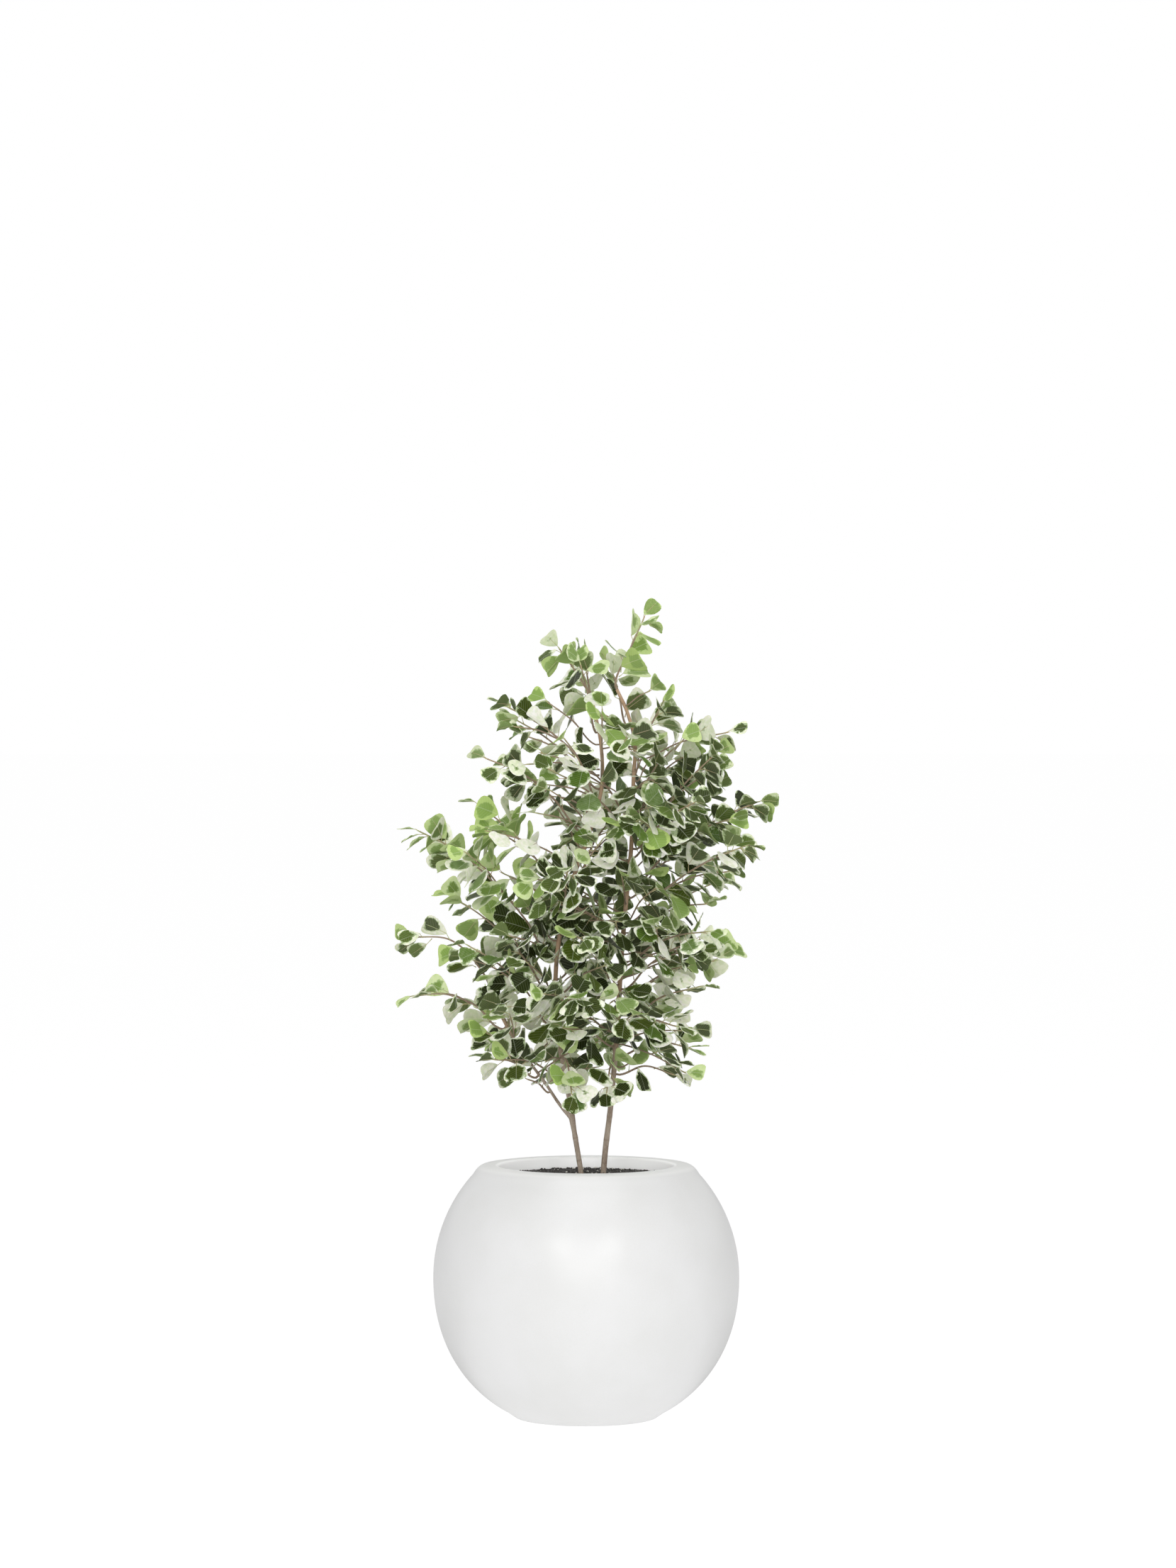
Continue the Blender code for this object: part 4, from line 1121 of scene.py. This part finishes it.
def blade_grid():
    """The blade's points as shares of its width and length, with their reach from the middle."""
    right = [np.array(point) for point in BLADE_OUTLINE]
    left = [point * (-1, 1) for point in reversed(right[:-1])]
    rim = np.array(right + left)
    middle = np.array(BLADE_MIDDLE)
    rows = [np.array([*middle, 0.0])[None]]
    for ring in BLADE_RINGS:
        rows.append(np.column_stack([middle + (rim - middle) * ring, np.full(len(rim), ring)]))
    sectors = len(rim)
    faces = fan_faces(0, 1, sectors)
    for ring in range(len(BLADE_RINGS) - 1):
        faces += band_faces(1 + ring * sectors, 1 + (ring + 1) * sectors, sectors)
    return np.concatenate(rows), faces, sectors


def blade_solid(points, side_faces, sectors):
    """The upper side, the under side turned over, and the thin edge between them."""
    count = len(points)
    under = [tuple(corner + count for corner in reversed(face)) for face in side_faces]
    rim = count - sectors
    return side_faces + under + band_faces(rim, rim + count, sectors)


BLADE, *blade_sides = blade_grid()
BLADE_SOLID_FACES = blade_solid(BLADE, *blade_sides)


def rows_of(vector):
    return np.array(vector)[None]


def bent_blade(leaf, look):
    """The blade's middle surface, folded, drooping, waved at the edge and curled at its corners."""
    u, v, reach = BLADE.T
    angle = np.arctan2(v - BLADE_MIDDLE[1], u)
    phase = look.uniform(0, EDGE_PHASE)
    wobble = sum(np.sin(angle * lobes + phase * shift) * share for lobes, shift, share in EDGE_LOBES)
    edge = 1 + EDGE_WOBBLE * wobble * reach**2
    u = u * edge * (1 + look.uniform(-UNEVEN_HALVES, UNEVEN_HALVES) * np.sign(u))
    v = BLADE_MIDDLE[1] + (v - BLADE_MIDDLE[1]) * np.where(v > BLADE_MIDDLE[1], edge, 1)
    crease = np.sqrt(u * u + FOLD_SOFTNESS**2) - FOLD_SOFTNESS
    lift = leaf.fold * crease * leaf.width - leaf.droop * v * v * leaf.length
    wave = EDGE_WAVE * look.uniform(*WAVE_SPREAD)
    lift += wave * np.sin(angle * look.choice(WAVES_ROUND) + phase) * reach**3
    lift += CORNER_CURL * look.uniform(-1, 1) * (2 * np.abs(u)) ** 3
    points = (rows_of(leaf.neck) + rows_of(leaf.blade) * (v * leaf.length)[:, None]
              + rows_of(leaf.across) * (u * leaf.width)[:, None] + rows_of(leaf.face) * lift[:, None])
    return points, u, v, reach


def add_blade(draft, leaf, look, traits):
    """The blade as a thin solid. Its traits are depth of green, size of the dark part, youth and side."""
    points, u, v, reach = bent_blade(leaf, look)
    thin = np.where(reach > THIN_RIM_FROM, THIN_RIM, 1.0)[:, None]
    half = BLADE_THICKNESS / 2 * thin * rows_of(leaf.face)
    places = np.column_stack([u, v, reach, np.full(len(u), look.uniform(0, MARKINGS_APART))])
    sides = [np.tile((*traits, upper), (len(u), 1)) for upper in (1.0, 0.0)]
    draft.add(np.concatenate([points + half, points - half]), np.concatenate([places, places]),
              np.concatenate(sides), BLADE_SOLID_FACES, 0)


def add_stalk(draft, leaf, look):
    """The stalk and the rib under the blade, as one tapering tube."""
    reach = leaf.stalk * (leaf.neck - leaf.root).length
    points = [leaf.root, leaf.root + reach * 0.5 - UP * STALK_SAG * leaf.size]
    radii = [STALK_RADII[0] * STALK_FOOT, STALK_RADII[1]]
    for station in RIB_STATIONS:
        drop = leaf.droop * station**2 * leaf.length + BLADE_THICKNESS * RIB_DEPTH
        points.append(leaf.neck + leaf.blade * (station * leaf.length) - leaf.face * drop)
        radii.append(STALK_RADII[1] * (1 - RIB_TAPER * station))
    add_tube(draft, points, radii, STALK_SIDES, look.random(), (1, look.random(), 0, 0), 1)


def add_twig(draft, route, leaves, look, start_share):
    """The twig with a knot at each leaf, and the pointed bud at its end."""
    points = smooth_route(route, TWIG_RING_STEP)
    end, heading = points[-1], (points[-1] - points[-2]).normalized()
    low, high = TWIG_RADII
    low *= start_share
    knots = [leaf.root for leaf, own in leaves if own is route]
    radii = []
    for index, point in enumerate(points):
        radius = low + (high - low) * index / (len(points) - 1)
        near = min(((knot - point).length for knot in knots), default=1)
        radius += KNOT_HEIGHT * hump(near, KNOT_WIDTH)
        radii.append(radius * (1 + TWIG_UNEVEN_SHARE * noise.noise(point * TWIG_UNEVEN_SCALE)))
    add_tube(draft, points, radii, TWIG_SIDES, look.random(), (0, look.random(), 0, 0), 1)
    bud = [end - heading * BUD_SEAT, *(end + heading * BUD_LENGTH * share for share in BUD_STATIONS)]
    radii = [BUD_RADIUS * share for share in BUD_SHARES]
    add_tube(draft, bud, radii, STALK_SIDES, look.random(), (BUD_GREEN, look.random(), 0, 0), 1)


# Each noise that draws the markings, as its scale, detail and distortion, and how far it reaches.
DRIFT, DRIFT_REACH = (1.7, 1.0, 0.0), 1.5
LOBES, LOBE_REACH = (4.6, 2.0, 0.5), 0.85
FLECKS, FLECK_REACH = (26.0, 3.0, 0.0), 0.22
CLOUDS, CLOUD_TONE, CLOUD_FRINGE, CLOUDY_MARGIN = (6.5, 2.0, 0.0), 0.3, 0.32, (0.35, 0.65)
SPOT_HEIGHT, SPOT_RADIUS, SPOT_LIMITS = 0.60, 0.44, (-0.15, 1.02)
DARK_EDGE, FRINGE_EDGE = (-0.02, 0.05), (-0.02, 0.10)
LEAF_GREENS = (
    (0.00, (30, 38, 0)), (0.35, (45, 57, 6)), (0.58, (72, 86, 20)),
    (0.78, (78, 107, 33)), (1.00, (128, 147, 99)),
)
GREY_GREEN = (164, 179, 138)
MARGIN_CREAM, MARGIN_GREEN = (243, 241, 231), (224, 230, 205)
YOUNG_GREEN, YOUNG_DEEP, YOUNG_DEPTH = (175, 198, 114), (127, 157, 76), 0.8
RIB_SLOPE, RIB_APART, RIB_EDGE, RIB_SHARE = 0.62, 0.055, (0.002, 0.012), 0.45
MIDRIB_EDGE, VEIN_SHARE = (0.006, 0.022), 0.24
UNDER_GREEN, UNDER_SHARE = (132, 142, 108), 0.26
LEAF_ROUGHNESS, FLECK_ROUGHNESS, FLECK_RELIEF, LEAF_RELIEF = (0.62, 0.40), 0.08, 0.35, (0.0004, 0.45)
LEAF_GLOSS = 0.15
LIGHT_THROUGH, THROUGH_DEPTH, THROUGH_COLOUR = 0.45, 0.0012, (0.9, 1.0, 0.5)
TWIG_GREY, TWIG_BROWN = (162, 144, 124), (126, 104, 84)
STALK_GREEN, STALK_PINK = (178, 188, 132), (176, 154, 120)
TWIG_MOTTLING, TWIG_ROUGHNESS, TWIG_RELIEF = (160.0, 1300.0, 0.5), (0.50, 0.72), (0.0003, 0.4)
FRESH_TWIG_FROM, FRESH_TWIG_SHARE = (0.7, 1.0), 0.5


def own_noise(finish, place, own, scale, detail, distortion):
    """A noise over the leaf that no other leaf shares."""
    made = finish.add("ShaderNodeTexNoise", {
        "Vector": place, "W": own, "Scale": scale, "Detail": detail, "Distortion": distortion,
    }, noise_dimensions="4D")
    return made.outputs[0]


def stepped_colour(finish, value, steps):
    """A colour that runs through several others as a value goes from 0 to 1."""
    made = finish.add("ShaderNodeValToRGB", {"Fac": value})
    stops = made.color_ramp.elements
    stops[0].position, stops[0].color = steps[0][0], screen_colour(*steps[0][1])
    stops[1].position, stops[1].color = steps[-1][0], screen_colour(*steps[-1][1])
    for place, colour in steps[1:-1]:
        stops.new(place).color = screen_colour(*colour)
    return made.outputs[0]


def variegated_leaf():
    """A dark, lobed middle, a grey-green fringe with flecks, and a cream to light green margin."""
    finish = Finish("Variegated leaf")
    place, traits = finish.attribute("place"), finish.attribute("traits")
    across, along, reach = finish.split(place["Vector"])
    depth, spot, youth = finish.split(traits["Vector"])
    upper = traits["Alpha"]
    flat = finish.add("ShaderNodeCombineXYZ", {"X": across, "Y": along}).outputs[0]
    drift, lobes, flecks, clouds = (own_noise(finish, flat, place["Alpha"], *marking)
                                    for marking in (DRIFT, LOBES, FLECKS, CLOUDS))

    ragged = finish.plus(finish.swing(drift, DRIFT_REACH), finish.swing(lobes, LOBE_REACH))
    from_spot = finish.times(finish.vector("DISTANCE", flat, (0, SPOT_HEIGHT, 0)), 1 / SPOT_RADIUS)
    rounded = finish.times(finish.plus(reach, from_spot), 0.5)
    inward = finish.plus(finish.plus(rounded, ragged), finish.swing(flecks, FLECK_REACH))
    inside = finish.minus(finish.spread(spot, *SPOT_LIMITS), inward)
    dark = finish.ramp(inside, *DARK_EDGE)
    fringe = finish.ramp(finish.plus(inside, finish.times(clouds, CLOUD_FRINGE)), *FRINGE_EDGE)

    margin = finish.blend(finish.ramp(clouds, *CLOUDY_MARGIN), MARGIN_CREAM, MARGIN_GREEN)
    green = stepped_colour(finish, finish.plus(depth, finish.swing(clouds, CLOUD_TONE)), LEAF_GREENS)
    grown = finish.blend(dark, finish.blend(fringe, margin, GREY_GREEN), green)
    fresh = finish.blend(finish.times(fringe, YOUNG_DEPTH), YOUNG_GREEN, YOUNG_DEEP)
    colour = finish.blend(youth, grown, fresh)

    aside = finish.math("ABSOLUTE", across)
    ribs = finish.math("PINGPONG", finish.minus(along, finish.times(aside, RIB_SLOPE)), RIB_APART)
    rib = finish.times(finish.rest(finish.ramp(ribs, *RIB_EDGE)), RIB_SHARE)
    veins = finish.math("MAXIMUM", rib, finish.rest(finish.ramp(aside, *MIDRIB_EDGE)))
    colour = finish.blend(finish.times(veins, VEIN_SHARE), colour, MARGIN_GREEN)
    colour = finish.blend(finish.times(finish.rest(upper), UNDER_SHARE), colour, UNDER_GREEN)
    finish.wears("Base Color", colour)

    matt = finish.spread(upper, *LEAF_ROUGHNESS)
    finish.wears("Roughness", finish.plus(matt, finish.times(flecks, FLECK_ROUGHNESS)))
    finish.bump(finish.minus(finish.times(flecks, FLECK_RELIEF), veins), *LEAF_RELIEF)
    finish.wears("Specular IOR Level", LEAF_GLOSS)
    finish.wears("Subsurface Weight", LIGHT_THROUGH)
    finish.wears("Subsurface Radius", THROUGH_COLOUR)
    finish.wears("Subsurface Scale", THROUGH_DEPTH)
    return finish.material


def twig_bark():
    """Grey-brown young bark on the twigs, and green to pinkish skin on the leaf stalks and the buds."""
    finish = Finish("Twig and leaf stalk")
    mask, grain = finish.mottled(finish.object_place(), *TWIG_MOTTLING)
    greenness, tint, _ = finish.split(finish.attribute("traits")["Vector"])
    along = finish.split(finish.attribute("place")["Vector"])["Z"]
    stalk = finish.blend(tint, STALK_GREEN, STALK_PINK)
    fresh = finish.times(finish.ramp(along, *FRESH_TWIG_FROM), FRESH_TWIG_SHARE)
    green = finish.math("MAXIMUM", greenness, fresh)
    finish.wears("Base Color", finish.blend(green, finish.blend(mask, TWIG_BROWN, TWIG_GREY), stalk))
    finish.wears("Roughness", finish.spread(mask, *TWIG_ROUGHNESS))
    finish.bump(grain, *TWIG_RELIEF)
    return finish.material


# Where fresh growth is: across, height and reach.
FRESH_SPOTS = (
    (-0.150, 0.885, 0.085), (-0.280, 0.960, 0.070), (0.015, 1.225, 0.060), (0.100, 1.300, 0.060),
    (-0.250, 0.690, 0.055), (-0.165, 0.675, 0.035), (0.190, 0.590, 0.045), (0.080, 0.600, 0.035),
    (0.230, 0.745, 0.030),
)
FRESH_FROM, FRESH_OVER, FRESH_SHARE = 0.56, 0.30, 0.7
# Where the crown is darker or paler than elsewhere: across, height, reach and how much.
TONE_SPOTS = (
    (-0.040, 0.765, 0.140, 1.0), (0.075, 0.830, 0.100, 0.8), (0.170, 0.750, 0.070, 0.7),
    (0.210, 1.030, 0.090, 0.6), (0.260, 0.960, 0.060, 0.6), (0.050, 0.660, 0.080, 0.8),
    (0.055, 0.965, 0.055, 0.7), (0.125, 0.830, 0.050, 0.5), (0.000, 0.495, 0.060, 1.0),
    (0.050, 1.105, 0.090, 0.4), (0.020, 1.030, 0.085, -0.5), (-0.130, 0.905, 0.100, -1.0),
    (-0.165, 0.970, 0.070, -0.8), (0.050, 1.175, 0.075, -0.6), (0.125, 0.690, 0.050, -1.0),
    (-0.070, 0.680, 0.060, -0.6),
)
PATCH_SIZE, PATCH_DEPTH, PATCH_START = 0.075, 0.8, Vector((3.1, 0.4, 7.7))
PATCH_ON_PALE, MOST_PALE, PATCH_ON_DEPTH, PATCH_ON_DARK = 1.5, 2.2, 0.25, 0.5
INNER_CROWN, INNER_PALER, FRESH_LESS = 0.11, 2.0, 0.5
MOSTLY_DARK, MOSTLY_PALE, MOSTLY_FRESH = 0.55, 0.14, 0.12
YOUTH_SPREAD, FRESH_YOUTH = (0.4, 0.9), (0.45, 1.0)
PALE_DEPTHS, PALE_MIDDLES = (0.3, 1.0), (0.0, 0.16)
FRESH_DEPTHS, FRESH_MIDDLES = (0.5, 1.0), (0.4, 0.85)
DEPTHS, DEPTH_SPREAD, LEAST_DEPTH = (0.08, 0.20, 0.26, 0.32, 0.38, 0.46, 0.56, 0.70, 0.86), 0.08, 0.02
WIDE_MIDDLES, NARROW_MIDDLES = (0.79, 0.95), (0.66, 0.82)


def leaf_traits(look, leaf):
    """Depth of green, size of the dark part and youth. A few leaves are all cream, more so deep inside."""
    spot = leaf.neck
    fresh = any(math.hypot(spot.x - x, spot.z - z) < reach for x, z, reach in FRESH_SPOTS)
    young = max(0.0, (1 - leaf.size) / (1 - YOUNG_LEAF)) * look.uniform(*YOUTH_SPREAD)
    youth = young * min(1, max(0, (spot.z - FRESH_FROM) / FRESH_OVER)) * (1.0 if fresh else FRESH_LESS)
    inner = math.hypot(spot.x - CROWN_MIDDLE.x, spot.y) < INNER_CROWN
    patch = PATCH_DEPTH * noise.noise(spot / PATCH_SIZE + PATCH_START)
    for x, z, reach, shift in TONE_SPOTS:
        patch += shift * max(0, 1 - (math.hypot(spot.x - x, spot.z - z) / reach) ** 2)
    pale = MOSTLY_PALE * (INNER_PALER if inner else 1) * (FRESH_LESS if fresh else 1)
    pale *= min(MOST_PALE, max(0, 1 - PATCH_ON_PALE * patch))
    chance = look.random()
    if chance < pale:
        return look.uniform(*PALE_DEPTHS), look.uniform(*PALE_MIDDLES), youth
    if chance < pale + MOSTLY_FRESH or (fresh and look.random() < FRESH_SHARE):
        depth, middle = look.uniform(*FRESH_DEPTHS), look.uniform(*FRESH_MIDDLES)
        return depth, middle, max(youth, look.uniform(*FRESH_YOUTH))
    depth = look.choice(DEPTHS) + look.uniform(-DEPTH_SPREAD, DEPTH_SPREAD)
    depth = max(LEAST_DEPTH, depth - PATCH_ON_DEPTH * patch)
    mostly_dark = look.random() < MOSTLY_DARK + PATCH_ON_DARK * patch
    return depth, look.uniform(*(WIDE_MIDDLES if mostly_dark else NARROW_MIDDLES)), youth


SHARP_ANGLE = 48
SHOOT_STARTS, SPUR_START = (1.0, 0.8), 0.75
SPURS_TOGETHER = 8


def shoot_piece(name, routes, grown, look):
    """One shoot or a few spurs, as one mesh in two finishes."""
    draft = Draft()
    for share, route in routes:
        add_twig(draft, route, grown, look, share)
    for leaf, _ in grown:
        add_blade(draft, leaf, look, leaf_traits(look, leaf))
        add_stalk(draft, leaf, look)
    made = draft.piece(name, [leaf_finish, twig_finish])
    made.data.set_sharp_from_angle(angle=math.radians(SHARP_ANGLE))
    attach(made, "root")
    return made


leaf_finish, twig_finish = variegated_leaf(), twig_bark()
look = random.Random(SEED + 11)
for index, (routes, grown) in enumerate(zip(shoots, leaves), start=1):
    shoot = shoot_piece(f"foliage_{index:02d}", list(zip(SHOOT_STARTS, routes)), grown, look)
    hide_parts(f"leafy_shoot_{index:02d}")

for first in range(0, len(spurs), SPURS_TOGETHER):
    some = spurs[first:first + SPURS_TOGETHER]
    spur_routes = [(SPUR_START, route) for route, _ in some]
    spur_leaves = [pair for _, grown in some for pair in grown]
    shoot_piece(f"spurs_{first // SPURS_TOGETHER + 1:02d}", spur_routes, spur_leaves, look)


# Studio
# A plain white floor that glows a little, as a light table does, and even light all round. A lit wall,
# a fill and two soft lamps stand in front, one hangs above, and a small one lights the pot's inner lip.
# Glossy paint mirrors the floor dimmer and the sky brighter than they are. The camera stands far off.

FLOOR_RADIUS, FLOOR_SIDES = 40.0, 96
FLOOR_WHITE, FLOOR_GLOW = 0.24, 0.85
MIRROR_NEAR, MIRROR_FAR = (0.25, 0.25), (1.20, 0.68)
MIRROR_BEHIND = (-0.10, 0.15)
SKY_STRENGTH, SKY_SEEN, SKY_MIRRORED = 0.60, 1.0, 0.95
SKY_RISE, SKY_BEHIND = (0.06, 0.25), (0.3, 0.7)
LAMP_AIM, LIP_AIM = (0, 0, 0.5), (0, 0.14, 0.400)
LAMPS = (
    ("left_lamp", (-1.41, -3.77, 2.48), LAMP_AIM, (0.90, 0.90), 19.0, True),
    ("right_lamp", (1.41, -3.77, 2.48), LAMP_AIM, (0.90, 0.90), 19.0, True),
    ("front_wall", (0.0, -8.0, 2.0), LAMP_AIM, (8.0, 4.0), 95.0, True),
    ("front_fill", (0.0, -8.0, 2.6), LAMP_AIM, (6.0, 4.0), 70.0, False),
    ("top_lamp", (0.0, -1.0, 4.2), LAMP_AIM, (3.2, 3.2), 35.0, False),
    ("lip_lamp", (0.0, -0.105, 0.440), LIP_AIM, (0.20, 0.03), 0.12, True),
)
CAMERA_PLACE, CAMERA_DOWN = (0.0029, -9.85, 1.354), 1.85
CAMERA_LENS, FILM_HEIGHT, CAMERA_SIGHT = 138.8, 36.0, 200.0


def floor_finish():
    """Plain white with a glow, which a mirror of the floor shows dimmer, most of all near the pot."""
    finish = Finish("Studio floor")
    spot = finish.add("ShaderNodeNewGeometry").outputs["Position"]
    behind = finish.ramp(finish.split(spot)["Y"], *MIRROR_BEHIND)
    mirrored = finish.times(behind, finish.add("ShaderNodeLightPath").outputs["Is Glossy Ray"])
    share = finish.add("ShaderNodeMapRange", {
        "Value": finish.vector("LENGTH", spot), "From Min": MIRROR_NEAR[0], "From Max": MIRROR_FAR[0],
        "To Min": MIRROR_NEAR[1], "To Max": MIRROR_FAR[1],
    }).outputs[0]
    finish.wears("Base Color", (FLOOR_WHITE, FLOOR_WHITE, FLOOR_WHITE, 1))
    finish.wears("Roughness", 1.0)
    finish.wears("Specular IOR Level", 0.0)
    finish.wears("Emission Color", (1, 1, 1, 1))
    finish.wears("Emission Strength", finish.spread(mirrored, FLOOR_GLOW, finish.times(share, FLOOR_GLOW)))
    return finish.material


def even_sky():
    """The same light from all sides, but white to the camera, and brighter where the pot mirrors it."""
    made = bpy.data.worlds.new("Studio light")
    made.use_nodes = True
    nodes = Nodes(made.node_tree)
    rays = nodes.add("ShaderNodeLightPath").outputs
    toward = nodes.split(nodes.add("ShaderNodeTexCoord").outputs["Generated"])
    band = nodes.times(nodes.ramp(toward["Z"], *SKY_RISE), nodes.ramp(toward["Y"], *SKY_BEHIND))
    lit = nodes.spread(nodes.times(band, rays["Is Glossy Ray"]), SKY_STRENGTH, SKY_MIRRORED)
    background = made.node_tree.nodes["Background"].inputs
    nodes.feed(background["Color"], (1.0, 1.0, 1.0, 1))
    nodes.feed(background["Strength"], nodes.spread(rays["Is Camera Ray"], lit, SKY_SEEN))
    return made


def hang_lamp(name, spot, aim, size, power, shadows):
    lamp = bpy.data.lights.new(name, "AREA")
    lamp.shape = "ELLIPSE"
    lamp.size, lamp.size_y = size
    lamp.energy = power
    lamp.use_shadow = shadows
    hung = bpy.data.objects.new(name, lamp)
    hung.location = spot
    hung.rotation_euler = (Vector(aim) - Vector(spot)).to_track_quat("-Z", "Y").to_euler()
    hung.visible_camera = False
    scene.collection.objects.link(hung)
    return hung


scene = bpy.context.scene
scene.view_settings.view_transform = "Standard"
scene.world = even_sky()

bpy.ops.mesh.primitive_circle_add(vertices=FLOOR_SIDES, radius=FLOOR_RADIUS, fill_type="NGON")
floor = bpy.context.object
floor.name = "studio_floor"
floor.data.materials.append(floor_finish())

lamps = {lamp[0]: hang_lamp(*lamp) for lamp in LAMPS}
pot_alone = bpy.data.collections.new("lit by the lip lamp")
pot_alone.objects.link(pot)
lamps["lip_lamp"].light_linking.receiver_collection = pot_alone

lens = bpy.data.cameras.new("front_camera")
lens.lens = CAMERA_LENS
lens.sensor_width = FILM_HEIGHT
lens.sensor_fit = "AUTO"
lens.clip_end = CAMERA_SIGHT
camera = bpy.data.objects.new("front_camera", lens)
camera.location = CAMERA_PLACE
camera.rotation_euler = (math.radians(90 - CAMERA_DOWN), 0, 0)
scene.collection.objects.link(camera)
scene.camera = camera
